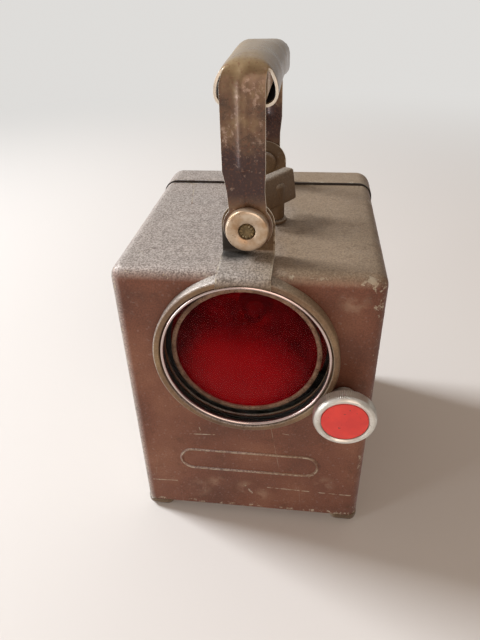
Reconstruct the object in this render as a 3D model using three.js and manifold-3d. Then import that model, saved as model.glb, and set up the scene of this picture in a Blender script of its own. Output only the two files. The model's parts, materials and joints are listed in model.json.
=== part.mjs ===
// A square railroad hand lantern of sheet steel, with a round lens, a swinging red filter,
// a bail handle over a switch knob, and a hinged rear cover that holds the battery in.
// Units are millimetres. X is to the right, Y to the back and Z up, as seen from the front.
// Inside the lantern's group, Y = 0 is the case's front face and Z = 0 its underside.
import * as THREE from "three";
import { RoundedBoxGeometry } from "three/addons/geometries/RoundedBoxGeometry.js";
import { mergeVertices } from "three/addons/utils/BufferGeometryUtils.js";
import Module from "manifold-3d";

const wasm = await Module();
wasm.setup();

// The whole lantern
const caseWidth = 130;
const caseDepth = 118.4;
const caseHeight = 164;
const caseEdge = 6.3;
const caseSheet = 1.2;
const clearance = 0.3;
const overrun = 5;
const weldDistance = 0.0001;
const halfWidth = caseWidth / 2;
const chamferShare = 0.3;

// Rear edge of the case and its raised front panel outline
const rimWidth = 7;
const panelWidth = 81;
const panelTall = 17;
const panelCorner = 7;
const beadWidth = 1.4;
const beadProud = 0.5;

// Feet
const footHeight = 7;
const footLength = 16.5;
const footCorner = 5.8;

// Lens, its bezel and what holds it
const bezelShare = 46.1 / 130;
const bezelRadius = caseWidth * bezelShare;
const bezelAboveTop = 0.3;
const lensHeight = caseHeight + bezelAboveTop - bezelRadius;
const bezelProud = 6.6;
const bezelWall = 3.1;
const bezelRounding = 0.8;
const openingInset = 5.3;
const ringOpening = bezelRadius - openingInset;
const ringProud = 6.2;
const frontGlassThickness = 1.6;
const frontGlassBulge = 2;
const gasketThickness = 1;
const lensHole = ringOpening + clearance;
const seatRadius = bezelRadius - bezelWall - clearance;
const glassBack = -(clearance * 2 + gasketThickness);
const glassFront = glassBack - frontGlassThickness;

// The panel's middle, between the lens and the case's underside
const panelShare = 0.548;
const panelHeight = (lensHeight - bezelRadius) * panelShare;

// Bulkhead that carries the reflector
const bulkheadFront = 9.4;
const bulkheadSheet = 1;
const bulkheadBelow = 16.2;
const bulkheadFlange = 12.6;

// Reflector, a paraboloid shell
const reflectorInset = 0.8;
const reflectorRadius = ringOpening - reflectorInset;
const reflectorDepth = 40;
const reflectorFocusDistance = reflectorRadius ** 2 / (4 * reflectorDepth);
const reflectorShell = 1.2;
const reflectorNeck = 8;
const reflectorFlange = 3.6;
const reflectorFlangeThickness = 0.8;
const bulkheadLow = lensHeight - reflectorRadius - bulkheadBelow;
const reflectorRim = bulkheadFront - clearance - reflectorFlangeThickness;
const focusDepth = reflectorRim + reflectorRadius ** 2 / (4 * reflectorFocusDistance) - reflectorFocusDistance;

// Bulb and holder
const bulbRadius = 5.5;
const bulbNeck = 4.2;
const bulbBaseRadius = 4.7;
const bulbBaseLength = 13;
const holderRadius = 7.6;
const holderBore = 5.2;
const holderReach = 3.2;
const holderWall = 2;
const holderFlangeRadius = 11;
const holderFlangeThickness = 1.2;
const bulbContactRadius = 2.6;

// Filter, swung by the knob at the lower right of the lens
const filterFromSide = 15.4;
const filterBelowLens = 23.2;
const filterX = halfWidth - filterFromSide;
const filterHeight = lensHeight - filterBelowLens;
const filterSide = 0.5;
const filterSag = 1.3;
const filterGlassInset = 5.2;
const filterFrameInset = 2.6;
const filterGlassRadius = ringOpening - filterGlassInset;
const filterFrameRadius = ringOpening - filterFrameInset;
const filterFrameFront = 2.6;
const filterFrameDepth = 3.4;
const filterGlassThickness = 2;
const filterGlassBulge = 1.5;
const filterArmWidth = 10;
const filterArmThickness = 1.6;
const filterHubRadius = 7;
const filterHubFront = 1.9;
const filterHubBack = 7.6;
const shaftRadius = 3;
const shaftBack = 13.5;
const shaftBore = shaftRadius + clearance;
const clipRadius = 6;
const clipThickness = 1;
const bushBarrelRadius = 5.2;
const bushFlangeRadius = 6.6;
const bushFlangeThickness = 0.9;
const bushReach = 1.6;
const detentSheet = 0.9;
const detentWidth = 5;
const detentNose = 4.9;

// Filter knob
const knobFace = 19.5;
const knobRadius = 15.4;
const knobRim = 1.3;
const knobKnurl = 6;
const knobKnurlDepth = 0.35;
const knobTeeth = 48;
const knobNeckRadius = 7;
const knobBoreEnd = 12.5;
const knobDiscRadius = 11.5;
const knobDiscThickness = 1.2;
const knobDiscRecess = 0.4;

// Handle, swinging about a front-to-back axis over the case
const pivotRise = 15;
const pivotHeight = caseHeight + pivotRise;
const handleSheet = 1.5;
const frontEarFace = 19;
const rearEarInset = 1.9;
const rearEarBack = caseDepth - rearEarInset;
const earRadius = 12.5;
const earSheet = 1.5;
const strapSheet = 0.8;
const rearStrapLength = 12;
const legEyeRadius = 11.6;
const legNeckHalf = 8.6;
const frontLegLean = -1.4;
const legNeckRise = 17;
const legHalf = 9.6;
const legFullRise = 26;
const ribWidth = 3.6;
const ribProud = 0.9;
const ribLow = 27;
const gripRise = 72;
const gripDrop = 5.5;
const gripCrownShare = 0.33;
const gripHalf = 13.5;
const gripShoulder = 12.5;
const gripCurl = 5.5;
const gripTall = 18.5;
const gripBend = 10;
const gripBlend = 0.1;
const capRadius = 10;
const capThickness = 4.8;
const capRounding = 1.2;
const rivetRadius = 3.6;
const rivetHeadRadius = 6.5;
const rivetHeadThickness = 1.6;
const rivetHole = rivetRadius + clearance;

// Rotary switch under the handle
const switchX = 9.2;
const switchShare = 61 / 118.4;
const switchY = caseDepth * switchShare;
const switchTurn = THREE.MathUtils.degToRad(56);
const paddleLength = 26;
const paddleThickness = 6;
const paddleFoot = 11;
const paddleLow = 10;
const paddleHigh = 26;
const paddleCorner = 2;
const hubRadius = 5.4;
const hubHigh = 21.5;
const hubRounding = 2;
const spindleRadius = 2.4;
const switchBushRadius = 5;
const switchFlangeRadius = 6.8;
const switchFlangeThickness = 1.6;
const switchBodyRadius = 11;
const switchBodyLength = 17;
const lugOffset = 5;
const lugWidth = 4;
const lugSheet = 1;
const lugLength = 6;

// Rear cover
const coverDepth = 28.3;
const coverProud = 1.3;
const coverEdge = 9;
const coverSheet = 1.2;
const coverFront = caseDepth + clearance;
const coverBack = coverFront + coverDepth;
const coverHalf = halfWidth + coverProud;
const coverPanelInset = 20;
const coverPanelCorner = 12;
const coverBeadWidth = 4;
const coverBeadProud = 0.8;
const coverGasketWidth = 5.5;
const coverGasketThickness = 2;

// Hinges on the left, latch on the right
const barrelRadius = 2.8;
const pinRadius = 1.4;
const pinHeadRadius = 2.2;
const pinHeadThickness = 1;
const hingeTall = 26;
const hingeLow = 25;
const hingeDrop = 51;
const hingeHigh = caseHeight - hingeDrop;
const knuckleTall = 8;
const caseLeafLength = 15;
const caseLeafSheet = 1.2;
const coverLeafLength = 14;
const coverLeafSheet = 1.3;
const leafStandOff = 0.7;
const sideReach = coverHalf + clearance + 2 * barrelRadius;
const hingeX = -(coverHalf + clearance + barrelRadius);
const latchInset = 18.4;
const latchY = caseDepth - latchInset;
const latchHeight = 82;
const latchRadius = 26;
const latchTail = 10;
const latchHalf = 4.8;
const latchSheet = 2;
const latchPinRadius = 2;
const latchHeadRadius = 4.6;
const studRadius = 2.2;
const studHeadRadius = 3.6;
const studHeadThickness = 2;

// Battery, its tray and its contacts
const batteryAside = 31.5;
const batteryBelowLens = 16.2;
const batteryInset = 1.9;
const batteryAhead = 49.5;
const batteryWide = caseWidth - 2 * batteryAside;
const batteryTall = lensHeight - batteryBelowLens;
const batteryEdge = 3;
const batteryBack = caseDepth - batteryInset;
const batteryDeep = batteryBack - batteryAhead;
const trayWall = 1;
const trayTall = 12;
const trayGap = 0.4;
const terminalTall = 11.5;
const terminalFoot = 7;
const terminalTip = 4;
const cornerTerminalShare = 0.36;
const contactThickness = 1.2;
const contactRadius = 6;
const boardThickness = 2.4;
const boardInset = 0.5;
const boardHalf = batteryWide / 2 - boardInset;
const boardLength = 44.5;
const boardFront = batteryBack - boardLength;
const bracketSheet = 1.2;
const bracketWidth = 18;
const bracketDrop = 14;
const bracketAhead = 30.5;
const bracketFront = batteryBack - bracketAhead;
const springSheet = 0.8;
const springHalf = 10;
const springFoot = 10;
const springBelow = 48;
const springLow = caseHeight / 2 - springBelow;
const springTall = 62;
const springNose = 5;
const springLean = springSheet * 1.5;
const wireRadius = 1;
const wireLead = 1;
const lampWireDrop = 5;
const lampWirePoints = [[4, 4, 9.8], [1, 7.5, 3.8]];
const lampWireEnd = [7, 0.5];
const boardWireDrop = 3;
const boardWirePoints = [[18, -2, 9.2], [20, 4, 7.2], [20, 7, 4.2]];
const boardWireEnd = 7.5;

// How finely round shapes are divided
const largeSides = 40;
const mediumSides = 28;
const smallSides = 16;
const arcSegments = 3;
const edgeSegments = 3;
const curveSteps = 6;
const glassSteps = 4;
const wireSteps = 14;
const wireSegments = 4;

// Finishes
const paint = { color: 0x6b6257, roughness: 0.62, metalness: 0.25 };
const chrome = { color: 0xc9c6c2, roughness: 0.18, metalness: 1 };
const aluminium = { color: 0xb4a893, roughness: 0.4, metalness: 0.9 };
const rustySteel = { color: 0x5a4a3c, roughness: 0.65, metalness: 0.5 };
const zincSteel = { color: 0x96948c, roughness: 0.45, metalness: 0.9 };
const brass = { color: 0xb08d4a, roughness: 0.35, metalness: 0.95 };
const clearGlass = { color: 0xe8ecec, roughness: 0.05, metalness: 0, transparent: true, opacity: 0.3 };
const redGlass = { color: 0xa00818, roughness: 0.08, metalness: 0, transparent: true, opacity: 0.8 };
const redEnamel = { color: 0xcc3230, roughness: 0.3, metalness: 0 };
const silvered = { color: 0xd8d8d4, roughness: 0.08, metalness: 1 };
const rubber = { color: 0x1c1b1a, roughness: 0.9, metalness: 0 };
const insulator = { color: 0x2c211a, roughness: 0.5, metalness: 0 };
const batteryCard = { color: 0x3c4a58, roughness: 0.7, metalness: 0 };
const wireCover = { color: 0x7a2320, roughness: 0.6, metalness: 0 };

// A welded body with no doubled points or flat triangles, its faces pointing out
function solid(geometry) {
  const bare = new THREE.BufferGeometry();
  bare.setAttribute("position", geometry.getAttribute("position"));
  if (geometry.index) bare.setIndex(geometry.index);
  const welded = mergeVertices(bare, weldDistance);
  const points = welded.getAttribute("position");
  const corners = [];
  const ends = [new THREE.Vector3(), new THREE.Vector3(), new THREE.Vector3()];
  let volume = 0;
  for (let i = 0; i < welded.index.count; i += 3) {
    const [a, b, c] = [0, 1, 2].map((k) => welded.index.getX(i + k));
    if (a === b || b === c || c === a) continue;
    corners.push(a, b, c);
    [a, b, c].forEach((index, k) => ends[k].fromBufferAttribute(points, index));
    volume += ends[0].dot(ends[1].clone().cross(ends[2]));
  }
  if (volume < 0) corners.reverse();
  const vertProperties = Float32Array.from(points.array);
  return new wasm.Manifold(new wasm.Mesh({ numProp: 3, vertProperties, triVerts: Uint32Array.from(corners) }));
}

function geometryOf(body) {
  const mesh = body.getMesh();
  const geometry = new THREE.BufferGeometry();
  geometry.setAttribute("position", new THREE.BufferAttribute(Float32Array.from(mesh.vertProperties), 3));
  geometry.setIndex(new THREE.BufferAttribute(Uint32Array.from(mesh.triVerts), 1));
  geometry.computeVertexNormals();
  return geometry;
}

function joined(...bodies) {
  return bodies.reduce((sum, body) => sum.add(body));
}

// Adds a named piece to a group
function place(group, name, body, finish) {
  const mesh = new THREE.Mesh(geometryOf(body), new THREE.MeshStandardMaterial(finish));
  mesh.name = name;
  group.add(mesh);
}

// A straight-sided block between two corners
function block(left, right, front, back, low, high) {
  const geometry = new THREE.BoxGeometry(right - left, back - front, high - low);
  geometry.translate((left + right) / 2, (front + back) / 2, (low + high) / 2);
  return solid(geometry);
}

// A block whose edges are all rounded
function drawnBlock(left, right, front, back, low, high, radius, segments = edgeSegments) {
  const geometry = new RoundedBoxGeometry(right - left, back - front, high - low, segments, radius);
  geometry.translate((left + right) / 2, (front + back) / 2, (low + high) / 2);
  return solid(geometry);
}

// A closed profile of [radius, place along the axis] pairs, turned about Y
function turned(profile, sides = mediumSides) {
  const outline = profile.map(([radius, along]) => new THREE.Vector2(radius, along));
  const onAxis = profile[0][0] === 0 && profile.at(-1)[0] === 0;
  if (!onAxis) outline.push(outline[0].clone());
  return solid(new THREE.LatheGeometry(outline, sides));
}

function disc(radius, front, back, sides = mediumSides) {
  return turned([[0, front], [radius, front], [radius, back], [0, back]], sides);
}

function ring(inner, outer, front, back, sides = mediumSides) {
  return turned([[inner, front], [outer, front], [outer, back], [inner, back]], sides);
}

// Turns a body made about Y so that its front faces up, or its back faces right
function upright(body) {
  return body.rotate([-90, 0, 0]);
}

function sideways(body) {
  return body.rotate([0, 0, -90]);
}

// An outline carried along one axis: drawn as (y, z) for x, (x, z) for y and (x, y) for z
function extruded(outline, axis, from, to, steps = 1) {
  const settings = { depth: to - from, bevelEnabled: false, curveSegments: arcSegments, steps };
  const geometry = new THREE.ExtrudeGeometry(outline, settings);
  const [X, Y, Z] = [new THREE.Vector3(1, 0, 0), new THREE.Vector3(0, 1, 0), new THREE.Vector3(0, 0, 1)];
  const turns = { x: [Y, Z, X, from], y: [X, Z, Y.clone().negate(), -to], z: [X, Y, Z, from] };
  const [first, second, third, start] = turns[axis];
  geometry.translate(0, 0, start);
  geometry.applyMatrix4(new THREE.Matrix4().makeBasis(first, second, third));
  return geometry;
}

function roundedRectangle(left, right, low, high, radius) {
  const outline = new THREE.Shape();
  outline.absarc(right - radius, low + radius, radius, -Math.PI / 2, 0);
  outline.absarc(right - radius, high - radius, radius, 0, Math.PI / 2);
  outline.absarc(left + radius, high - radius, radius, Math.PI / 2, Math.PI);
  outline.absarc(left + radius, low + radius, radius, Math.PI, Math.PI * 1.5);
  return outline;
}

function polygon(points) {
  return new THREE.Shape(points.map(([x, y]) => new THREE.Vector2(x, y)));
}

// A raised line that follows a rounded rectangle, standing out of a wall
function beadFrame(left, right, low, high, corner, width, front, back) {
  const outer = solid(extruded(roundedRectangle(left, right, low, high, corner), "y", front, back));
  const inside = roundedRectangle(left + width, right - width, low + width, high - width, corner - width);
  return outer.subtract(solid(extruded(inside, "y", front - overrun, back + overrun)));
}

// The space of the drawn case, grown all round or, with a negative growth, shrunk
function caseSpace(growth, low = -growth) {
  const side = halfWidth + growth;
  const reach = caseDepth + 2 * caseEdge;
  const top = caseHeight + growth;
  const radius = caseEdge + growth;
  const whole = drawnBlock(-side, side, -growth, reach, -reach, top, radius);
  return whole.intersect(block(-side - overrun, side + overrun, -overrun, reach + overrun, low, top + overrun));
}

const lantern = new THREE.Group();

// Case
function caseShell() {
  const within = (body) => body.intersect(block(-caseWidth, caseWidth, -caseWidth, caseDepth, 0, 2 * caseHeight));
  const side = halfWidth - caseSheet - rimWidth;
  const rimFront = caseDepth - caseSheet;
  const shell = within(caseSpace(0)).subtract(caseSpace(-caseSheet));
  const window = block(-side, side, rimFront - overrun, caseDepth + overrun,
    caseSheet + rimWidth, caseHeight - caseSheet - rimWidth);
  const rim = within(caseSpace(0)).intersect(block(-caseWidth, caseWidth, rimFront, caseDepth, 0, caseHeight));
  const half = panelWidth / 2;
  const bead = beadFrame(-half, half, panelHeight - panelTall / 2, panelHeight + panelTall / 2,
    panelCorner, beadWidth, -beadProud, caseSheet / 2);
  const lensCut = disc(lensHole, -overrun, caseEdge, largeSides).translate([0, 0, lensHeight]);
  const bushCut = disc(bushBarrelRadius + clearance, -overrun, caseEdge, smallSides);
  const switchCut = upright(disc(switchBushRadius + clearance, -overrun, overrun, smallSides));
  return joined(shell, rim.subtract(window), bead)
    .subtract(lensCut)
    .subtract(bushCut.translate([filterX, 0, filterHeight]))
    .subtract(switchCut.translate([switchX, switchY, caseHeight]));
}
place(lantern, "case_shell", caseShell(), paint);

// Feet: pressed tabs that carry the corners down, cut from the case's own corner
function foot(right, back) {
  const top = -clearance;
  const left = right ? halfWidth - footLength : -halfWidth;
  const front = back ? caseDepth - footLength : 0;
  const column = drawnBlock(-halfWidth, halfWidth, 0, caseDepth + (back ? 2 * caseEdge : 0),
    -caseHeight, caseHeight, caseEdge);
  const tab = (from) => roundedRectangle(from, from + footLength, -footHeight, footHeight, footCorner);
  const fromFront = solid(extruded(tab(left), "y", -overrun, caseDepth));
  const fromSide = solid(extruded(tab(front), "x", -halfWidth, halfWidth));
  const below = block(-caseWidth, caseWidth, -overrun, caseDepth, -2 * footHeight, top);
  return column.intersect(fromFront).intersect(fromSide).intersect(below);
}
for (const [name, right, back] of [
  ["front_left_foot", false, false],
  ["front_right_foot", true, false],
  ["rear_left_foot", false, true],
  ["rear_right_foot", true, true],
]) {
  place(lantern, name, foot(right, back), paint);
}

// Lens set, about the lens axis
const lens = new THREE.Group();
lens.position.z = lensHeight;
lantern.add(lens);

function bezel() {
  const inner = bezelRadius - bezelWall;
  const profile = [
    [inner, caseEdge],
    [bezelRadius, caseEdge],
    [bezelRadius, -bezelProud + bezelRounding],
    [bezelRadius - bezelRounding * chamferShare, -bezelProud + bezelRounding * chamferShare],
    [bezelRadius - bezelRounding, -bezelProud],
    [inner, -bezelProud],
  ];
  const grown = caseSpace(clearance, -overrun).translate([0, 0, -lensHeight]);
  return turned(profile, largeSides).subtract(grown);
}

function retainingRing() {
  const glassAtRing = glassFront - frontGlassBulge * (1 - (ringOpening / seatRadius) ** 2);
  const back = glassAtRing - clearance;
  const outer = seatRadius;
  const middle = (ringOpening + outer) / 2;
  const step = (back + ringProud) / 3;
  return turned([
    [ringOpening, back],
    [outer, back],
    [outer, -ringProud + step],
    [middle, -ringProud],
    [ringOpening, -ringProud + step],
  ], largeSides);
}

// A round glass with a bulged front and back, given by its edge planes
function bulgedGlass(radius, front, back, bulge) {
  const steps = glassSteps;
  const sag = (share) => bulge * (1 - share ** 2);
  const shares = Array.from({ length: steps + 1 }, (_, i) => i / steps);
  const faceSide = shares.map((share) => [radius * share, front - sag(share)]);
  const backSide = shares.map((share) => [radius * share, back - sag(share)]).reverse();
  return turned([...faceSide, ...backSide], largeSides);
}
place(lens, "lens_bezel", bezel(), paint);
place(lens, "lens_retaining_ring", retainingRing(), chrome);
place(lens, "front_glass", bulgedGlass(seatRadius, glassFront, glassBack, frontGlassBulge), clearGlass);
place(lens, "lens_gasket", ring(lensHole + clearance, seatRadius, -clearance - gasketThickness, -clearance,
  largeSides), rubber);

// Bulkhead across the case, behind the filter's path
function bulkhead() {
  const side = halfWidth - caseSheet - clearance;
  const low = bulkheadLow;
  const high = caseHeight;
  const back = bulkheadFront + bulkheadSheet;
  const plate = block(-side, side, bulkheadFront, back, low, high);
  const flange = (left) => block(left, left + bulkheadSheet, bulkheadFront, back + bulkheadFlange, low, high);
  const hole = disc(reflectorRadius + clearance * 2, 0, back + overrun, largeSides);
  const shaftHole = disc(shaftBore, 0, back + overrun, smallSides);
  return joined(plate, flange(-side), flange(side - bulkheadSheet))
    .subtract(hole.translate([0, 0, lensHeight]))
    .subtract(shaftHole.translate([filterX, 0, filterHeight]))
    .intersect(caseSpace(-caseSheet - clearance));
}
place(lantern, "lamp_bulkhead", bulkhead(), zincSteel);

function reflector() {
  const steps = curveSteps;
  const depthAt = (radius) => reflectorRim + (reflectorRadius ** 2 - radius ** 2) / (4 * reflectorFocusDistance);
  const radii = Array.from({ length: steps + 1 },
    (_, i) => reflectorNeck + (reflectorRadius - reflectorNeck) * (i / steps));
  const flangeRadius = reflectorRadius + reflectorFlange;
  const flangeBack = reflectorRim + reflectorFlangeThickness;
  return turned([
    ...radii.map((radius) => [radius, depthAt(radius)]),
    [flangeRadius, reflectorRim],
    [flangeRadius, flangeBack],
    [reflectorRadius + clearance, flangeBack],
    ...radii.map((radius) => [radius, depthAt(radius) + reflectorShell]).reverse(),
  ]);
}
place(lens, "reflector", reflector(), silvered);

// Bulb, with its filament point at the reflector's focus
const bulbBaseFront = focusDepth + bulbRadius;
const bulbBaseBack = bulbBaseFront + bulbBaseLength;
const holderBack = bulbBaseBack + holderReach;

function bulbGlass() {
  const steps = curveSteps;
  const turnEnd = Math.PI - Math.asin(bulbNeck / bulbRadius);
  const round = Array.from({ length: steps + 1 }, (_, i) => {
    const angle = (turnEnd * i) / steps;
    return [bulbRadius * Math.sin(angle), focusDepth - bulbRadius * Math.cos(angle)];
  });
  round[0][0] = 0;
  return turned([...round, [bulbNeck, bulbBaseFront - clearance], [0, bulbBaseFront - clearance]], smallSides);
}

const holderNeckBack = reflectorRim + (reflectorRadius ** 2 - reflectorNeck ** 2) / (4 * reflectorFocusDistance)
  + reflectorShell;

function bulbHolder() {
  const flangeFront = holderNeckBack + clearance;
  const flangeBack = flangeFront + holderFlangeThickness;
  return turned([
    [holderBore, bulbBaseFront],
    [holderRadius, bulbBaseFront],
    [holderRadius, flangeFront],
    [holderFlangeRadius, flangeFront],
    [holderFlangeRadius, flangeBack],
    [holderRadius, flangeBack],
    [holderRadius, holderBack],
    [0, holderBack],
    [0, holderBack - holderWall],
    [holderBore, holderBack - holderWall],
  ], smallSides);
}
place(lens, "bulb_glass", bulbGlass(), clearGlass);
place(lens, "bulb_base", disc(bulbBaseRadius, bulbBaseFront, bulbBaseBack, smallSides), brass);
place(lens, "bulb_holder", bulbHolder(), insulator);
place(lens, "bulb_contact", disc(bulbContactRadius, bulbBaseBack + clearance,
  holderBack - holderWall - clearance, smallSides), brass);

// Filter set, about the knob's axis; the frame's arm reaches from the hub to the lens axis
const filter = new THREE.Group();
filter.position.set(filterX, 0, filterHeight);
lantern.add(filter);
const glassFromKnob = [-filterX - filterSide, 0, lensHeight - filterSag - filterHeight];
const armAngle = Math.atan2(glassFromKnob[2], glassFromKnob[0]);
const armReach = Math.hypot(glassFromKnob[0], glassFromKnob[2]);

function filterFrame() {
  const back = filterFrameFront + filterFrameDepth;
  const rim = ring(filterGlassRadius + clearance, filterFrameRadius, filterFrameFront, back, largeSides);
  const hub = disc(filterHubRadius, filterHubFront, filterHubBack, mediumSides);
  const bore = disc(shaftBore, -overrun, filterHubBack + overrun, smallSides);
  const armEnd = armReach - filterFrameRadius + filterFrameDepth / 2;
  const arm = block(0, armEnd, back - filterArmThickness, back, -filterArmWidth / 2, filterArmWidth / 2);
  const turn = THREE.MathUtils.radToDeg(armAngle);
  return joined(rim.translate(glassFromKnob), hub, arm.rotate([0, -turn, 0])).subtract(bore);
}
const filterGlassFront = filterFrameFront + (filterFrameDepth - filterGlassThickness) / 2;
const filterGlassBack = filterGlassFront + filterGlassThickness;
place(filter, "filter_frame", filterFrame(), rustySteel);
place(filter, "filter_glass", bulgedGlass(filterGlassRadius, filterGlassFront, filterGlassBack, filterGlassBulge)
  .translate(glassFromKnob), redGlass);
place(filter, "filter_shaft", disc(shaftRadius, -knobBoreEnd + clearance, shaftBack, smallSides), zincSteel);
place(filter, "filter_shaft_clip", ring(shaftBore, clipRadius, bulkheadFront + bulkheadSheet + clearance,
  bulkheadFront + bulkheadSheet + clearance + clipThickness, smallSides), zincSteel);

function filterBush() {
  const flangeFront = -clearance - bushFlangeThickness;
  return turned([
    [shaftBore, flangeFront],
    [bushFlangeRadius, flangeFront],
    [bushFlangeRadius, -clearance],
    [bushBarrelRadius, -clearance],
    [bushBarrelRadius, bushReach],
    [shaftBore, bushReach],
  ], smallSides);
}
place(filter, "filter_bush", filterBush(), brass);

// Knob: a toothed rim with a recess for the red disc, on a turned neck
function filterKnob() {
  const back = -clearance * 2 - bushFlangeThickness;
  const knurlFront = -knobFace + knobRim;
  const knurlBack = knurlFront + knobKnurl;
  const neckFront = knurlBack + knobKnurl / 2;
  const smooth = knobRadius - knobKnurlDepth;
  const core = turned([
    [0, -knobFace],
    [knobRadius - knobRim, -knobFace],
    [smooth, knurlFront],
    [smooth, knurlBack],
    [knobNeckRadius, neckFront],
    [knobNeckRadius, back],
    [0, back],
  ], largeSides);
  const teeth = Array.from({ length: 2 * knobTeeth }, (_, i) => {
    const radius = i % 2 ? knobRadius : smooth - knobKnurlDepth;
    const angle = (Math.PI * i) / knobTeeth;
    return [radius * Math.cos(angle), radius * Math.sin(angle)];
  });
  const knurl = solid(extruded(polygon(teeth), "y", knurlFront, knurlBack));
  const recess = disc(knobDiscRadius + clearance, -knobFace - overrun,
    -knobFace + knobDiscRecess + knobDiscThickness + clearance);
  const bore = disc(shaftBore, -knobBoreEnd, overrun, smallSides);
  return joined(core, knurl).subtract(recess).subtract(bore);
}
place(filter, "filter_knob", filterKnob(), aluminium);
place(filter, "filter_knob_disc", disc(knobDiscRadius, -knobFace + knobDiscRecess,
  -knobFace + knobDiscRecess + knobDiscThickness), redEnamel);

// Leaf spring on the bulkhead whose nose bears on the hub, so the filter stays where it is put
function detentSpring() {
  const nose = filterHubRadius + clearance;
  const end = halfWidth - caseSheet - 2 * bulkheadSheet - filterX;
  const back = bulkheadFront - clearance;
  const outline = polygon([
    [nose, detentNose],
    [nose + detentSheet, detentNose],
    [nose + detentSheet, back - detentSheet],
    [end, back - detentSheet],
    [end, back],
    [nose, back],
  ]);
  return solid(extruded(outline, "z", -detentWidth / 2, detentWidth / 2));
}
place(filter, "filter_detent_spring", detentSpring(), zincSteel);

// Handle and its brackets, about the pivot axis
const handle = new THREE.Group();
handle.position.z = pivotHeight;
lantern.add(handle);
const strapLow = lensHeight + bezelRadius + clearance - pivotHeight;
const frontLegFace = frontEarFace - clearance - handleSheet;
const rearEarFace = rearEarBack - earSheet;
const rearLegFace = rearEarBack + clearance;
const rearLegBack = rearLegFace + handleSheet;

function ear(face) {
  const outline = new THREE.Shape();
  outline.moveTo(-earRadius, strapLow);
  outline.lineTo(earRadius, strapLow);
  outline.absarc(0, 0, earRadius, 0, Math.PI);
  const hole = disc(rivetHole, face - overrun, face + earSheet + overrun, smallSides);
  return solid(extruded(outline, "y", face, face + earSheet)).subtract(hole);
}

function bracket(face, strapFrom, strapTo) {
  const strap = block(-earRadius, earRadius, strapFrom, strapTo, strapLow, strapLow + strapSheet);
  return joined(strap, ear(face));
}

// The front strap turns down over the bezel and ends at the lens opening
function frontBracket() {
  const lipBack = -bezelProud - clearance;
  const lipFront = lipBack - strapSheet;
  const lensCentre = lensHeight - pivotHeight;
  const lip = block(-earRadius, earRadius, lipFront, lipBack, lensCentre, strapLow + strapSheet);
  const opening = disc(ringOpening + strapSheet, lipFront - overrun, lipBack + overrun, largeSides);
  return joined(bracket(frontEarFace, lipFront, frontEarFace + earSheet),
    lip.subtract(opening.translate([0, 0, lensCentre])));
}
place(handle, "front_handle_bracket", frontBracket(), paint);
place(handle, "rear_handle_bracket", bracket(rearEarFace, rearEarFace - rearStrapLength, rearEarBack), paint);

// The grip's section: a crowned top with both long edges turned down and in
function gripSection(hollow) {
  const outline = new THREE.Shape();
  const side = gripHalf;
  const low = -gripTall;
  const inner = { shoulder: gripShoulder - handleSheet, curl: gripCurl - handleSheet };
  outline.absarc(-side + gripCurl, low + gripCurl, gripCurl, Math.PI * 1.5, Math.PI, true);
  outline.absarc(-side + gripShoulder, -gripShoulder, gripShoulder, Math.PI, Math.PI / 2, true);
  outline.absarc(side - gripShoulder, -gripShoulder, gripShoulder, Math.PI / 2, 0, true);
  outline.absarc(side - gripCurl, low + gripCurl, gripCurl, 0, -Math.PI / 2, true);
  if (!hollow) return outline;
  outline.absarc(side - gripCurl, low + gripCurl, inner.curl, -Math.PI / 2, 0);
  outline.absarc(side - gripShoulder, -gripShoulder, inner.shoulder, 0, Math.PI / 2);
  outline.absarc(-side + gripShoulder, -gripShoulder, inner.shoulder, Math.PI / 2, Math.PI);
  outline.absarc(-side + gripCurl, low + gripCurl, inner.curl, Math.PI, Math.PI * 1.5);
  return outline;
}

const gripCrown = frontLegFace + (rearLegBack - frontLegFace) * gripCrownShare;
const gripTop = (along) => gripRise - gripDrop * ((along - gripCrown) / (rearLegBack - gripCrown)) ** 2;

// The section carried from leg to leg along the grip's gentle arch, as a sheet or as the space it fills
function arched(hollow) {
  const geometry = extruded(gripSection(hollow), "y", frontLegFace, rearLegBack, curveSteps);
  const points = geometry.getAttribute("position");
  for (let i = 0; i < points.count; i += 1) {
    points.setZ(i, points.getZ(i) + gripTop(points.getY(i)));
  }
  return solid(geometry);
}

function grip() {
  const frontTop = gripTop(frontLegFace + gripBend);
  const rearTop = gripTop(rearLegBack - gripBend);
  const side = new THREE.Shape();
  side.moveTo(frontLegFace + handleSheet, 0);
  side.lineTo(frontLegFace + handleSheet, frontTop - gripBend);
  side.absarc(frontLegFace + gripBend, frontTop - gripBend, gripBend - handleSheet / 2,
    Math.PI * (1 - gripBlend), Math.PI / 2, true);
  side.lineTo(gripCrown, gripRise + overrun);
  side.absarc(rearLegBack - gripBend, rearTop - gripBend, gripBend - handleSheet / 2, Math.PI / 2,
    Math.PI * gripBlend, true);
  side.lineTo(rearLegBack - handleSheet, rearTop - gripBend);
  side.lineTo(rearLegBack - handleSheet, 0);
  return arched(true).intersect(solid(extruded(side, "x", -caseWidth, caseWidth)));
}

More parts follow.
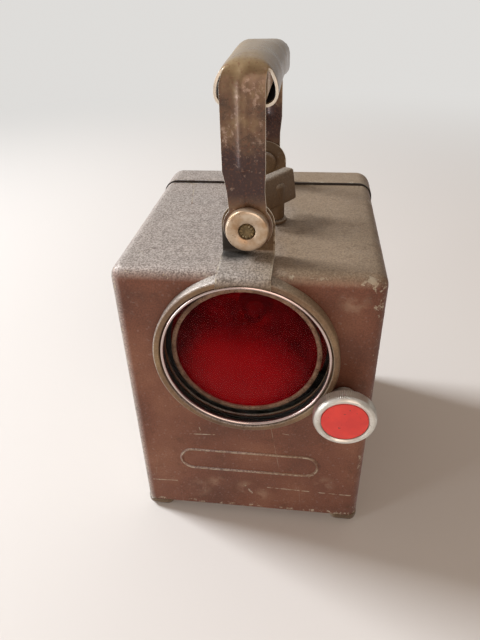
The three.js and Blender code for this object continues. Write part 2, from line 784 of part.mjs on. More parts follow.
// A leg: an eye round the pivot, a neck, a full-width strap and the bend into the grip
function leg(face, outward, top, lean) {
  const straightTop = top - gripBend;
  const outline = new THREE.Shape();
  const eyeTurn = Math.acos(legNeckHalf / legEyeRadius);
  outline.absarc(0, 0, legEyeRadius, Math.PI - eyeTurn, Math.PI * 2 + eyeTurn);
  outline.lineTo(legNeckHalf + lean / 2, legNeckRise);
  outline.lineTo(legHalf + lean, legFullRise);
  outline.lineTo(legHalf + lean, straightTop);
  outline.lineTo(-legHalf + lean, straightTop);
  outline.lineTo(-legHalf + lean, legFullRise);
  outline.lineTo(-legNeckHalf + lean / 2, legNeckRise);
  const strap = solid(extruded(outline, "y", face, face + handleSheet));
  const outerFace = outward < 0 ? face : face + handleSheet;
  const centre = outerFace - outward * gripBend;
  const bend = new THREE.Shape();
  const start = outward < 0 ? Math.PI : 0;
  bend.absarc(centre, straightTop, gripBend, start, Math.PI / 2, outward < 0);
  bend.absarc(centre, straightTop, gripBend - handleSheet, Math.PI / 2, start, outward > 0);
  const ribFrom = outward < 0 ? outerFace - ribProud : outerFace - handleSheet / 2;
  const ribHalf = ribWidth / 2;
  const ribOutline = roundedRectangle(lean - ribHalf, lean + ribHalf, ribLow, straightTop,
    ribHalf - weldDistance);
  const rib = solid(extruded(ribOutline, "y", ribFrom, ribFrom + ribProud + handleSheet / 2));
  const hole = disc(rivetHole, face - overrun, face + overrun, smallSides);
  const bendBody = solid(extruded(bend, "x", -legHalf + lean, legHalf + lean)).intersect(arched(false));
  return joined(strap, bendBody, rib).subtract(hole);
}
place(handle, "bail_handle", joined(
  grip(),
  leg(frontLegFace, -1, gripTop(frontLegFace + gripBend), frontLegLean),
  leg(rearLegFace, 1, gripTop(rearLegBack - gripBend), 0),
), rustySteel);

// Pivots: a rivet through the ear and the leg, with a round cap outside the leg
function pivotCap(near, outward) {
  const far = near + outward * capThickness;
  const edge = far - outward * capRounding;
  return turned([
    [rivetHole, near],
    [capRadius, near],
    [capRadius, edge],
    [capRadius - capRounding * chamferShare, far - outward * capRounding * chamferShare],
    [capRadius - capRounding, far],
    [rivetHole, far],
  ]);
}

function pivotRivet(capFar, earInside, outward) {
  const tip = capFar + outward * clearance;
  const headFrom = earInside - outward * clearance;
  return turned([
    [0, tip],
    [rivetRadius - capRounding / 2, tip],
    [rivetRadius, capFar - outward * clearance],
    [rivetRadius, headFrom],
    [rivetHeadRadius, headFrom],
    [rivetHeadRadius, headFrom - outward * rivetHeadThickness / 2],
    [rivetRadius, headFrom - outward * rivetHeadThickness],
    [0, headFrom - outward * rivetHeadThickness],
  ], smallSides);
}
const frontCapNear = frontLegFace - clearance;
const rearCapNear = rearLegBack + clearance;
place(handle, "front_pivot_cap", pivotCap(frontCapNear, -1), aluminium);
place(handle, "rear_pivot_cap", pivotCap(rearCapNear, 1), aluminium);
place(handle, "front_pivot_rivet", pivotRivet(frontCapNear - capThickness, frontEarFace + earSheet, -1), zincSteel);
place(handle, "rear_pivot_rivet", pivotRivet(rearCapNear + capThickness, rearEarFace, 1), zincSteel);

// Switch set, about the upright switch axis, with Z = 0 on the case's top
const rotary = new THREE.Group();
rotary.position.set(switchX, switchY, caseHeight);
lantern.add(rotary);
const bushTop = clearance + switchFlangeThickness;

function switchKnob() {
  const half = paddleLength / 2;
  const wedge = polygon([
    [-paddleFoot / 2, paddleLow],
    [paddleFoot / 2, paddleLow],
    [paddleThickness / 2, paddleHigh],
    [-paddleThickness / 2, paddleHigh],
  ]);
  const plan = roundedRectangle(-half, half, -paddleFoot / 2, paddleFoot / 2, paddleCorner);
  const bar = solid(extruded(wedge, "x", -half, half)).intersect(solid(extruded(plan, "z", 0, paddleHigh)));
  const hub = upright(turned([
    [0, -hubHigh],
    [hubRadius - hubRounding, -hubHigh],
    [hubRadius - hubRounding * chamferShare, -hubHigh + hubRounding * chamferShare],
    [hubRadius, -hubHigh + hubRounding],
    [hubRadius, -bushTop - clearance],
    [0, -bushTop - clearance],
  ], smallSides));
  const bore = upright(disc(spindleRadius + clearance, -paddleLow, 0, smallSides));
  return joined(bar.rotate([0, 0, THREE.MathUtils.radToDeg(switchTurn)]), hub).subtract(bore);
}

function switchBush() {
  return upright(turned([
    [spindleRadius + clearance, -bushTop],
    [switchFlangeRadius, -bushTop],
    [switchFlangeRadius, -clearance],
    [switchBushRadius, -clearance],
    [switchBushRadius, caseSheet + clearance],
    [spindleRadius + clearance, caseSheet + clearance],
  ], smallSides));
}
const switchBodyTop = caseSheet + 2 * clearance;
const switchBodyLow = switchBodyTop + switchBodyLength;
place(rotary, "switch_knob", switchKnob(), paint);
place(rotary, "switch_spindle", upright(disc(spindleRadius, -paddleLow + clearance,
  switchBodyTop - clearance, smallSides)), zincSteel);
place(rotary, "switch_bush", switchBush(), zincSteel);
place(rotary, "switch_body", upright(disc(switchBodyRadius, switchBodyTop, switchBodyLow, mediumSides)), insulator);
const lugTop = -switchBodyLow - clearance;
for (const [name, side] of [["switch_lug_left", -1], ["switch_lug_right", 1]]) {
  const middle = side * lugOffset;
  place(rotary, name, block(middle - lugWidth / 2, middle + lugWidth / 2, -lugSheet / 2, lugSheet / 2,
    lugTop - lugLength, lugTop), brass);
}

// Rear cover: a drawn tray that stands a little proud of the case all round
function rearCover() {
  const low = -coverProud;
  const high = caseHeight + coverProud;
  const start = coverFront - 2 * coverEdge;
  const ahead = block(-caseWidth, caseWidth, -overrun, coverFront, -caseWidth, 2 * caseHeight);
  const outer = drawnBlock(-coverHalf, coverHalf, start, coverBack, low, high, coverEdge);
  const inner = drawnBlock(-coverHalf + coverSheet, coverHalf - coverSheet, start, coverBack - coverSheet,
    low + coverSheet, high - coverSheet, coverEdge - coverSheet);
  const bead = beadFrame(-coverHalf + coverPanelInset, coverHalf - coverPanelInset, low + coverPanelInset,
    high - coverPanelInset, coverPanelCorner, coverBeadWidth, coverBack - coverSheet / 2,
    coverBack + coverBeadProud);
  return joined(outer.subtract(inner).subtract(ahead), bead);
}

function coverGasket() {
  const side = coverHalf - coverSheet - clearance;
  const low = -coverProud + coverSheet + clearance;
  const high = caseHeight + coverProud - coverSheet - clearance;
  const corner = coverEdge - coverSheet - clearance;
  return beadFrame(-side, side, low, high, corner, coverGasketWidth, coverFront,
    coverFront + coverGasketThickness);
}

// Bent leaf in the cover that presses the battery forward
function pressureSpring() {
  const wall = coverBack - coverSheet - clearance;
  const tip = batteryBack + clearance;
  const middle = springLow + springTall / 2;
  const top = springLow + springTall;
  const outline = polygon([
    [wall, springLow],
    [wall, springLow + springFoot],
    [tip + springLean, middle - springNose / 2],
    [tip + springLean, middle + springNose / 2],
    [wall, top - springFoot],
    [wall, top],
    [wall - springSheet, top],
    [wall - springSheet, top - springFoot + springSheet],
    [tip, middle + springNose / 2],
    [tip, middle - springNose / 2],
    [wall - springSheet, springLow + springFoot - springSheet],
    [wall - springSheet, springLow],
  ]);
  return solid(extruded(outline, "x", -springHalf, springHalf));
}
place(lantern, "rear_cover", rearCover(), paint);
place(lantern, "cover_gasket", coverGasket(), rubber);
place(lantern, "battery_pressure_spring", pressureSpring(), zincSteel);

// Hinges: two knuckles on the case leaf, one between them on the cover leaf, and a headed pin
function knuckle(low, high) {
  return upright(ring(pinRadius + clearance, barrelRadius, -high, -low, smallSides));
}
const pinSpace = upright(disc(pinRadius + clearance, -hingeTall - overrun, overrun, smallSides));

function caseLeaf() {
  const plateRight = -halfWidth - clearance - hingeX;
  const plateLeft = plateRight - caseLeafSheet;
  const plateBack = -barrelRadius - leafStandOff;
  const plate = block(plateLeft, plateRight, plateBack - caseLeafLength, plateBack, 0, hingeTall);
  const web = (low, high) => block(0, plateRight, plateBack - leafStandOff, -barrelRadius + caseLeafSheet, low, high);
  const upper = hingeTall - knuckleTall;
  return joined(plate, web(0, knuckleTall), web(upper, hingeTall), knuckle(0, knuckleTall),
    knuckle(upper, hingeTall)).subtract(pinSpace);
}

function coverLeaf() {
  const plateRight = barrelRadius;
  const plateLeft = plateRight - coverLeafSheet;
  const plateFront = barrelRadius + leafStandOff;
  const low = knuckleTall + clearance;
  const high = hingeTall - knuckleTall - clearance;
  const plate = block(plateLeft, plateRight, plateFront, plateFront + coverLeafLength, 0, hingeTall);
  const web = block(plateLeft, plateRight, 0, plateFront + leafStandOff, low, high);
  return joined(plate, web, knuckle(low, high)).subtract(pinSpace);
}

function hingePin() {
  const head = upright(disc(pinHeadRadius, -hingeTall - clearance - pinHeadThickness,
    -hingeTall - clearance, smallSides));
  return joined(head, upright(disc(pinRadius, -hingeTall - clearance - pinHeadThickness / 2, 0, smallSides)));
}
for (const [level, height] of [["lower", hingeLow], ["upper", hingeHigh]]) {
  const hinge = new THREE.Group();
  hinge.position.set(hingeX, caseDepth + clearance / 2, height);
  lantern.add(hinge);
  place(hinge, `${level}_hinge_case_leaf`, caseLeaf(), zincSteel);
  place(hinge, `${level}_hinge_cover_leaf`, coverLeaf(), zincSteel);
  place(hinge, `${level}_hinge_pin`, hingePin(), zincSteel);
}

// Latch, about its pivot on the case's right side; it hangs down unlocked and swings up and back
const latch = new THREE.Group();
latch.position.set(0, latchY, latchHeight);
lantern.add(latch);
const latchInside = coverHalf + clearance;
const latchOutside = latchInside + latchSheet;
const latchHeadFrom = latchOutside + clearance;

function latchLever() {
  const outline = roundedRectangle(-latchHalf, latchHalf, -latchRadius - latchTail, latchHalf, latchHalf - weldDistance);
  const slotHalf = studRadius + clearance;
  const slot = roundedRectangle(-slotHalf, 2 * latchHalf, -latchRadius - slotHalf, -latchRadius + slotHalf,
    slotHalf - weldDistance);
  const hole = sideways(disc(latchPinRadius + clearance, 0, sideReach + overrun, smallSides));
  return solid(extruded(outline, "x", latchInside, latchOutside))
    .subtract(solid(extruded(slot, "x", latchInside - overrun, latchOutside + overrun)))
    .subtract(hole);
}

// A shouldered pin that stands out of a side wall, with a head beyond the lever
function sidePin(wall, shoulderEnd, shoulder, shank, head, headEnd) {
  return sideways(turned([
    [0, wall],
    [shoulder, wall],
    [shoulder, shoulderEnd],
    [shank, shoulderEnd],
    [shank, latchHeadFrom],
    [head, latchHeadFrom],
    [head, (latchHeadFrom + headEnd) / 2],
    [shank, headEnd],
    [0, headEnd],
  ], smallSides));
}
place(latch, "latch_lever", latchLever(), zincSteel);
place(latch, "latch_pivot", sidePin(halfWidth + clearance, coverHalf, latchHeadRadius, latchPinRadius,
  latchHeadRadius, sideReach), zincSteel);
place(latch, "latch_stud", sidePin(latchInside, latchInside + clearance, studRadius, studRadius,
  studHeadRadius, latchHeadFrom + studHeadThickness).translate([0, latchRadius, 0]), zincSteel);

// Battery, standing in its tray at the back of the case
const trayFloor = caseSheet + clearance;
const batteryLow = trayFloor + trayWall + clearance;
const batteryTop = batteryLow + batteryTall;
const batteryFront = batteryBack - batteryDeep;
const batteryMiddle = (batteryFront + batteryBack) / 2;
const cornerTerminal = [batteryWide * cornerTerminalShare, batteryDeep * cornerTerminalShare];

function batteryTray() {
  const inside = batteryWide / 2 + trayGap;
  const outside = inside + trayWall;
  const front = batteryFront - trayGap;
  const whole = block(-outside, outside, front - trayWall, batteryBack, trayFloor, trayFloor + trayTall);
  return whole.subtract(block(-inside, inside, front, batteryBack + overrun,
    trayFloor + trayWall, trayFloor + trayTall + overrun));
}

function terminal() {
  return upright(turned([[0, -terminalTall], [terminalTip, -terminalTall], [terminalFoot, 0], [0, 0]], smallSides));
}
const terminalLow = batteryTop + clearance;
const contactLow = terminalLow + terminalTall + clearance;
const boardLow = contactLow + contactThickness + clearance;
const boardHigh = boardLow + boardThickness;
place(lantern, "battery_tray", batteryTray(), zincSteel);
place(lantern, "battery", drawnBlock(-batteryWide / 2, batteryWide / 2, batteryFront, batteryBack,
  batteryLow, batteryTop, batteryEdge, 1), batteryCard);
for (const [name, x, y] of [["centre", 0, 0], ["corner", ...cornerTerminal]]) {
  const at = [x, batteryMiddle + y];
  place(lantern, `battery_${name}_terminal`, terminal().translate([...at, terminalLow]), brass);
  const plate = upright(disc(contactRadius, -contactThickness, 0, smallSides));
  place(lantern, `${name}_contact`, plate.translate([...at, contactLow]), brass);
}
place(lantern, "terminal_board", block(-boardHalf, boardHalf, boardFront, batteryBack, boardLow, boardHigh),
  insulator);

function boardBracket() {
  const side = halfWidth - caseSheet - clearance;
  const low = boardHigh + clearance;
  const back = bracketFront + bracketWidth;
  const end = (left) => block(left, left + bracketSheet, bracketFront, back, low - bracketDrop, low + bracketSheet);
  return joined(block(-side, side, bracketFront, back, low, low + bracketSheet), end(-side),
    end(side - bracketSheet));
}
place(lantern, "board_bracket", boardBracket(), zincSteel);

// Wires, from a switch terminal past the points listed for each to the bulb holder or the board
const lugEnd = caseHeight + lugTop - lugLength - clearance;
const lampWire = [
  [switchX - lugOffset, switchY, lugEnd],
  [switchX - lugOffset, switchY + wireLead, lugEnd - lampWireDrop],
  ...lampWirePoints.map(([x, y, z]) => [x, switchY + y, lensHeight + z]),
  [0, holderBack + lampWireEnd[0], lensHeight + lampWireEnd[1]],
  [0, holderBack + clearance, lensHeight],
];
const [boardWireX] = boardWirePoints.at(-1);
const boardWire = [
  [switchX + lugOffset, switchY, lugEnd],
  [switchX + lugOffset, switchY + wireLead, lugEnd - boardWireDrop],
  ...boardWirePoints.map(([x, y, z]) => [x, boardFront + y, boardHigh + z]),
  [boardWireX, boardFront + boardWireEnd, boardHigh + clearance],
];

function wire(points) {
  const route = new THREE.CatmullRomCurve3(points.map(([x, y, z]) => new THREE.Vector3(x, y, z)));
  const section = new THREE.Shape();
  section.absarc(0, 0, wireRadius, 0, Math.PI * 2);
  const settings = { steps: wireSteps, extrudePath: route, curveSegments: wireSegments };
  return solid(new THREE.ExtrudeGeometry(section, settings));
}
place(lantern, "lamp_wire", wire(lampWire), wireCover);
place(lantern, "board_wire", wire(boardWire), wireCover);

// The origin is on the floor, in the middle of the lantern's overall width and depth
const overallBack = coverBack + coverBeadProud;
lantern.position.set(0, (knobFace - overallBack) / 2, footHeight);
const model = new THREE.Group();
model.add(lantern);

export default model;
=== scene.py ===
# %% [markdown]
# # Dressing a railroad hand lantern
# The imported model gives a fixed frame: every solid at its true size and place, in metres.
# This file puts the finished surfaces on it. Each step first says what the piece is on the
# real lantern, how it could be made, and why this way was chosen.

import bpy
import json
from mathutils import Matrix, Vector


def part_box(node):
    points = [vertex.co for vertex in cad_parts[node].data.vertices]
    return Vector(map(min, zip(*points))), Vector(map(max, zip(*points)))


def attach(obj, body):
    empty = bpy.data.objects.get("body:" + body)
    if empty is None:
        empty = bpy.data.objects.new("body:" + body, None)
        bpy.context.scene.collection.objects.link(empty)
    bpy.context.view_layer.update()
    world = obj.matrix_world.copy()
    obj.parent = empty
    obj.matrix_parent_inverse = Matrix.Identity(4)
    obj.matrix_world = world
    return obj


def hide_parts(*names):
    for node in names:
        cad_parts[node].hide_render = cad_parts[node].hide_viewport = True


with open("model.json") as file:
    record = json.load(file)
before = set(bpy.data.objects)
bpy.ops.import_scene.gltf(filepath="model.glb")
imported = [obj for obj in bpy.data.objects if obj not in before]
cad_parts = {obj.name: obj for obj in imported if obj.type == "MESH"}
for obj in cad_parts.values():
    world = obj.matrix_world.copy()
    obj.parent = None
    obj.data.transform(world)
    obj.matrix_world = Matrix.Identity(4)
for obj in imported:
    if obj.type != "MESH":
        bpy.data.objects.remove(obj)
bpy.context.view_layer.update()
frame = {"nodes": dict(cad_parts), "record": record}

# %% [markdown]
# ## Units and the lantern's own corner
# Pieces are drawn in millimetres, from the corner a maker would measure from: X = 0 is the
# lantern's middle, Y = 0 the case's front face, Z = 0 its underside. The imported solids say
# where that corner is in the frame, so nothing has to be fitted by eye.

# %% Millimetres and the corner
import json
from math import asin, atan2, cos, degrees, hypot, pi, radians, sin, sqrt

import bmesh
import bpy
from mathutils import Matrix, Vector, noise

MM = 0.001
BEAD_PROUD = 0.5
shell_low, shell_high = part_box("case_shell")
corner = Vector((0, shell_low.y + BEAD_PROUD * MM, shell_low.z))
to_frame = Matrix.Translation(corner) @ Matrix.Scale(MM, 4)
print("corner of the case in the frame:", [round(v, 5) for v in corner])

# %% [markdown]
# ## Sizes that several pieces share
# These are the sizes of the solids underneath, so that a piece drawn here lies on them.

# %% Shared sizes in millimetres
CASE_WIDE, CASE_DEEP, CASE_TALL = 130.0, 118.4, 164.0
EDGE = 6.3
SHEET = 1.2
LENS_HIGH = 118.2
BEZEL = 46.1
PIVOT_HIGH = 179.0
KNOB_X, KNOB_HIGH = 49.6, 95.0
SWITCH_X, SWITCH_Y = 9.2, 61.0
COVER_FRONT, COVER_BACK = 118.7, 147.0
COVER_PROUD, COVER_EDGE = 1.3, 9.0
print("case", CASE_WIDE, "x", CASE_DEEP, "x", CASE_TALL, "mm")

# %% [markdown]
# ## A camera where the photograph was taken
# The viewpoint was found by matching the case's edges and the lens circles in the photograph.
# It stands about 29 cm above the floor and 27 cm in front, looking down and a little to the left.
# The three directions below are the camera's right, down and forward.

# %% Camera
right = Vector((0.99210, 0.12277, -0.02544))
down = Vector((0.04696, -0.55198, -0.83251))
forward = Vector((-0.11625, 0.82475, -0.55340))
camera_data = bpy.data.cameras.new("photo_camera")
camera_data.lens = 30.008
camera_data.sensor_width = 36.0
camera_data.clip_start = 0.01
camera = bpy.data.objects.new("photo_camera", camera_data)
turn = Matrix((right, -down, -forward)).transposed().to_4x4()
camera.matrix_world = Matrix.Translation(Vector((0.02707, -0.27433, 0.28689))) @ turn
bpy.context.scene.collection.objects.link(camera)
bpy.context.scene.camera = camera
print("camera at", [round(v, 4) for v in camera.matrix_world.translation])

# %% [markdown]
# ## Colours and nodes
# Colours are picked as sRGB hex values, the way a swatch is read. The shader works in linear
# light, so one function turns them. One small function adds a node with its settings and links;
# every material below is a short list of such calls.

# %% Colour and node helpers
def tint(code, alpha=1.0):
    """An sRGB hex value as the linear colour a shader expects."""
    parts = [int(code[i:i + 2], 16) / 255 for i in (1, 3, 5)]
    linear = [c / 12.92 if c <= 0.04045 else ((c + 0.055) / 1.055) ** 2.4 for c in parts]
    return (*linear, alpha)


def add(tree, kind, inputs=None, stops=None, **settings):
    """Adds a node, sets its properties, and sets or links its inputs."""
    made = tree.nodes.new(kind)
    for name, value in settings.items():
        setattr(made, name, value)
    for name, value in (inputs or {}).items():
        if isinstance(value, bpy.types.NodeSocket):
            tree.links.new(value, made.inputs[name])
        else:
            made.inputs[name].default_value = value
    for i, (place, colour) in enumerate(stops or []):
        elements = made.color_ramp.elements
        element = elements[i] if i < len(elements) else elements.new(place)
        element.position, element.color = place, colour
    return made


def new_material(name, **sockets):
    """A material with its shader and the piece's own coordinates."""
    material = bpy.data.materials.new(name)
    material.use_nodes = True
    tree = material.node_tree
    shader = tree.nodes["Principled BSDF"]
    for socket, value in sockets.items():
        shader.inputs[socket.replace("_", " ")].default_value = value
    place = add(tree, "ShaderNodeTexCoord").outputs["Object"]
    return material, tree, shader, place


def per_mm(size):
    """The texture scale that makes one cell this many millimetres wide."""
    return 1 / (size * MM)


print("helpers ready; one cell per 2 mm is a scale of", per_mm(2))

# %% [markdown]
# ## Stoved hammer paint on sheet steel
# The case was sprayed with a brown-grey stoving paint that dries to a fine grain. It looks
# speckled and almost silver where it is lit, and reddish brown in the shade. Decades of carrying
# took it off along the edges, where pale primer shows, and dust lies on what faces up.
# A picture of the paint would be quicker, but it would not follow the piece, so the grain, the wear,
# the dust and the painted light on the side towards the window are all worked out from the surface's
# own position.

# %% Marks at chosen places
def in_frame(point):
    """A point given in millimetres from the lantern's corner, as a place in the frame."""
    return tuple(to_frame @ Vector(point))


def scrape(tree, place, start, end, width):
    """1 on a straight scrape between two points, fading to 0 at its width."""
    first, way = Vector(in_frame(start)), Vector(in_frame(end)) - Vector(in_frame(start))
    off = add(tree, "ShaderNodeVectorMath", {0: place, 1: tuple(first)}, operation="SUBTRACT")
    share = add(tree, "ShaderNodeVectorMath", {0: off.outputs[0], 1: tuple(way / way.length_squared)},
                operation="DOT_PRODUCT")
    kept = add(tree, "ShaderNodeMapRange", {"Value": share.outputs["Value"]})
    on_line = add(tree, "ShaderNodeVectorMath", {0: tuple(way), "Scale": kept.outputs[0]},
                  operation="SCALE")
    gap = add(tree, "ShaderNodeVectorMath", {0: off.outputs[0], 1: on_line.outputs[0]},
              operation="DISTANCE")
    return add(tree, "ShaderNodeMapRange", {"Value": gap.outputs["Value"], "From Min": width * MM,
                                            "From Max": width * 0.35 * MM}).outputs[0]


def spread(tree, place, centre, radius):
    """1 at a point, fading to 0 at a radius."""
    gap = add(tree, "ShaderNodeVectorMath", {0: place, 1: in_frame(centre)}, operation="DISTANCE")
    return add(tree, "ShaderNodeMapRange", {"Value": gap.outputs["Value"], "From Min": radius * MM,
                                            "From Max": 0.0}).outputs[0]


def greatest(tree, masks):
    """The greatest of several masks."""
    most = masks[0]
    for mask in masks[1:]:
        most = add(tree, "ShaderNodeMath", {0: most, 1: mask}, operation="MAXIMUM").outputs[0]
    return most


print("a scrape or a chipped patch can be put at any point of the case")

# %% [markdown]
# ### Paint under dust and painted light
# The paint's own brown varies in soft clouds. What faces up has gathered dust. Faces turned to the
# window lamp's side, and the whole half towards it, are painted paler and greyer as painted light,
# while the other side is left olive.

# %% Paint under dust and painted light
def paint_under_dust_and_painted_light(tree, place, parts, tones):
    """The paint's colour under its dust and painted light, how far a point faces up or towards the
    window lamp, and how much window light is painted on.
    """
    clouds = add(tree, "ShaderNodeTexNoise", {"Vector": place, "Scale": per_mm(34), "Detail": 4.0})
    base = add(tree, "ShaderNodeValToRGB", {"Fac": clouds.outputs["Fac"]}, stops=[
        (0.30, tint(tones[0])), (0.52, tint(tones[1])), (0.72, tint(tones[2]))])
    # Dust lies on what faces up; faces turned to the window lamp's side get the same paler colour as
    # painted light
    normal = add(tree, "ShaderNodeTexCoord").outputs["Normal"]
    split = add(tree, "ShaderNodeSeparateXYZ", {"Vector": normal})
    aside = add(tree, "ShaderNodeMath", {0: split.outputs["X"], 1: -0.95}, operation="MULTIPLY")
    open_to = add(tree, "ShaderNodeMath", {0: split.outputs["Z"], 1: aside.outputs[0]},
                  operation="MAXIMUM")
    facing = add(tree, "ShaderNodeMapRange", {"Value": open_to.outputs[0], "From Min": 0.12,
                                              "From Max": 0.9, "To Min": 0.0, "To Max": 0.82})
    # The clouds make the painted light's border uneven
    shifted = add(tree, "ShaderNodeMath", {0: clouds.outputs["Fac"], 1: 24 * MM}, operation="MULTIPLY")
    across = add(tree, "ShaderNodeMath", {0: parts.outputs["X"], 1: shifted.outputs[0]},
                 operation="ADD")
    painted_window_light = add(tree, "ShaderNodeMapRange", {"Value": across.outputs[0], "From Min": 32 * MM,
                                                "From Max": 10 * MM, "To Min": 0.15, "To Max": 1.0})
    # Painted light: the dust colour turns paler grey on the side towards the window lamp
    dust_and_painted_light = add(tree, "ShaderNodeMix", {0: painted_window_light.outputs[0], 6: tint("#8f7d62"),
                                       7: tint("#a39c94")}, data_type="RGBA")
    dusty_and_lit = add(tree, "ShaderNodeMix", {0: facing.outputs[0], 6: base.outputs["Color"],
                                        7: dust_and_painted_light.outputs[2]}, data_type="RGBA")
    return dusty_and_lit.outputs[2], facing.outputs[0], painted_window_light.outputs[0]


print("dust and bleaching ready")

# %% [markdown]
# ### Grain and painted glints
# Hammer paint dries to fine pale and dark grains, with a few bright flakes among them. A noise makes
# the grains and a cell pattern the flakes. Both are painted strongest where the surface faces up or
# towards the window lamp, as painted glints.

# %% Grain and painted glints
GRAIN, FLAKE = 0.8, 1.0


def with_grain_and_painted_glints(tree, place, colour, facing, painted_window_light):
    """The colour with its grains and flakes, painted strongest where lit, and the grain itself for the
    relief.
    """
    # Finer grain than this would vanish at the camera's distance
    grain = add(tree, "ShaderNodeTexNoise", {"Vector": place, "Scale": per_mm(GRAIN), "Detail": 2.0})
    flakes = add(tree, "ShaderNodeTexVoronoi", {"Vector": place, "Scale": per_mm(FLAKE)})
    speck = add(tree, "ShaderNodeValToRGB", {"Fac": grain.outputs["Fac"]}, stops=[
        (0.36, tint("#3c3c3c")), (0.50, tint("#bcbcbc")), (0.66, tint("#ffffff"))])
    # Painted light: grain and bright flakes show most where the painted window light falls
    lit = add(tree, "ShaderNodeMath", {0: facing, 1: painted_window_light}, operation="MULTIPLY")
    strong = add(tree, "ShaderNodeMapRange", {"Value": lit.outputs[0], "From Max": 0.6,
                                              "To Min": 0.2, "To Max": 0.72})
    grained = add(tree, "ShaderNodeMix", {0: strong.outputs[0], 6: colour, 7: speck.outputs["Color"]},
                  data_type="RGBA", blend_type="SOFT_LIGHT")
    spark = add(tree, "ShaderNodeMapRange", {"Value": flakes.outputs["Color"], "From Min": 0.80,
                                             "From Max": 0.97, "To Max": 0.52})
    sparks = add(tree, "ShaderNodeMath", {0: spark.outputs[0], 1: strong.outputs[0]},
                 operation="MULTIPLY")
    sparkled = add(tree, "ShaderNodeMix", {0: sparks.outputs[0], 6: grained.outputs[2],
                                           7: tint("#b9b3a8")}, data_type="RGBA")
    return sparkled.outputs[2], grain.outputs["Fac"]


print("grain of", GRAIN, "mm and flakes of", FLAKE, "mm")

# %% [markdown]
# ### Handling marks
# Hands left dull greasy smears, and knocks left pale scuffs in a few places. One slow noise gives both
# their ragged shape. Painted shade in a corner or along a seam is nearly black, and the handle will
# need it too.

# %% Handling marks
def with_handling_marks(tree, place, colour, smears, scuffed):
    """The colour under greasy smears, with pale scuffs at the chosen places."""
    grime = add(tree, "ShaderNodeMapRange", {"Value": smears, "From Min": 0.56, "From Max": 0.74,
                                             "To Max": 0.35})
    grimy = add(tree, "ShaderNodeMix", {0: grime.outputs[0], 6: colour, 7: tint("#3c2c22")},
                data_type="RGBA").outputs[2]
    if scuffed:
        rough_patch = add(tree, "ShaderNodeMapRange", {"Value": smears, "From Min": 0.46,
                                                       "From Max": 0.62, "To Max": 0.6})
        near_patch = greatest(tree, [spread(tree, place, *patch) for patch in scuffed])
        scuff = add(tree, "ShaderNodeMath", {0: rough_patch.outputs[0], 1: near_patch},
                    operation="MULTIPLY")
        grimy = add(tree, "ShaderNodeMix", {0: scuff.outputs[0], 6: grimy, 7: tint("#a0826a")},
                    data_type="RGBA").outputs[2]
    return grimy


def under_painted_shade(tree, colour, mask):
    """The colour under painted shade, nearly black where the mask is full."""
    thick = add(tree, "ShaderNodeMapRange", {"Value": mask, "From Min": 0.05, "From Max": 0.45,
                                             "To Max": 0.92})
    return add(tree, "ShaderNodeMix", {0: thick.outputs[0], 6: colour, 7: tint("#1a1610")},
               data_type="RGBA").outputs[2]


print("smears, scuffs and grease ready")

# %% [markdown]
# ### Scratches and chips
# Fine scratches lie in a few places: they are the thin lines between long stretched cells. Chips
# are small anywhere and crowd along the edges of the box, because that is where a lantern is
# knocked. Each is a mask, 1 where the paint is gone, so that colour and relief can share it.

# %% Scratches
def scratch_mask(tree, place, parts, scrapes, rubbed):
    """1 on fine scratches, on the chosen scrapes and where the paint is rubbed through."""
    marks = []
    for turn_by, size in ((0.5, 26), (-0.9, 33), (1.4, 41)):
        laid = add(tree, "ShaderNodeMapping", {"Vector": place, "Rotation": (0.4, turn_by, turn_by),
                                               "Scale": (1.0, 1.0, 0.12)})
        lines = add(tree, "ShaderNodeTexVoronoi", {"Vector": laid.outputs[0], "Scale": per_mm(size)},
                    feature="DISTANCE_TO_EDGE")
        thin_lines_and_painted_glow = add(tree, "ShaderNodeMapRange", {"Value": lines.outputs["Distance"],
                                                "From Min": 0.004, "From Max": 0.0, "To Max": 1.0})
        patch = add(tree, "ShaderNodeTexNoise", {"Vector": laid.outputs[0], "Scale": per_mm(14)})
        gate = add(tree, "ShaderNodeMapRange", {"Value": patch.outputs["Fac"], "From Min": 0.63,
                                                "From Max": 0.7})
        marks.append(add(tree, "ShaderNodeMath", {0: thin_lines_and_painted_glow.outputs[0], 1: gate.outputs[0]},
                         operation="MULTIPLY").outputs[0])
    drawn = [scrape(tree, place, *mark) for mark in scrapes]
    if rubbed:
        axis, start, end = rubbed
        away = add(tree, "ShaderNodeMath", {0: parts.outputs[axis]}, operation="ABSOLUTE")
        drawn.append(add(tree, "ShaderNodeMapRange", {"Value": away.outputs[0], "From Min": start,
                                                      "From Max": end}).outputs[0])
    if drawn:
        # These are broken up, because a corner skips as it drags
        skips = add(tree, "ShaderNodeTexNoise", {"Vector": place, "Scale": per_mm(3.2), "Detail": 3.0})
        skip = add(tree, "ShaderNodeMapRange", {"Value": skips.outputs["Fac"], "From Min": 0.42,
                                                "From Max": 0.52})
        marks.append(add(tree, "ShaderNodeMath", {0: greatest(tree, drawn), 1: skip.outputs[0]},
                         operation="MULTIPLY").outputs[0])
    return greatest(tree, marks)


print("scratches ready")

# %% Chips
EDGE_REACH, EDGE_FULL = 7, 1


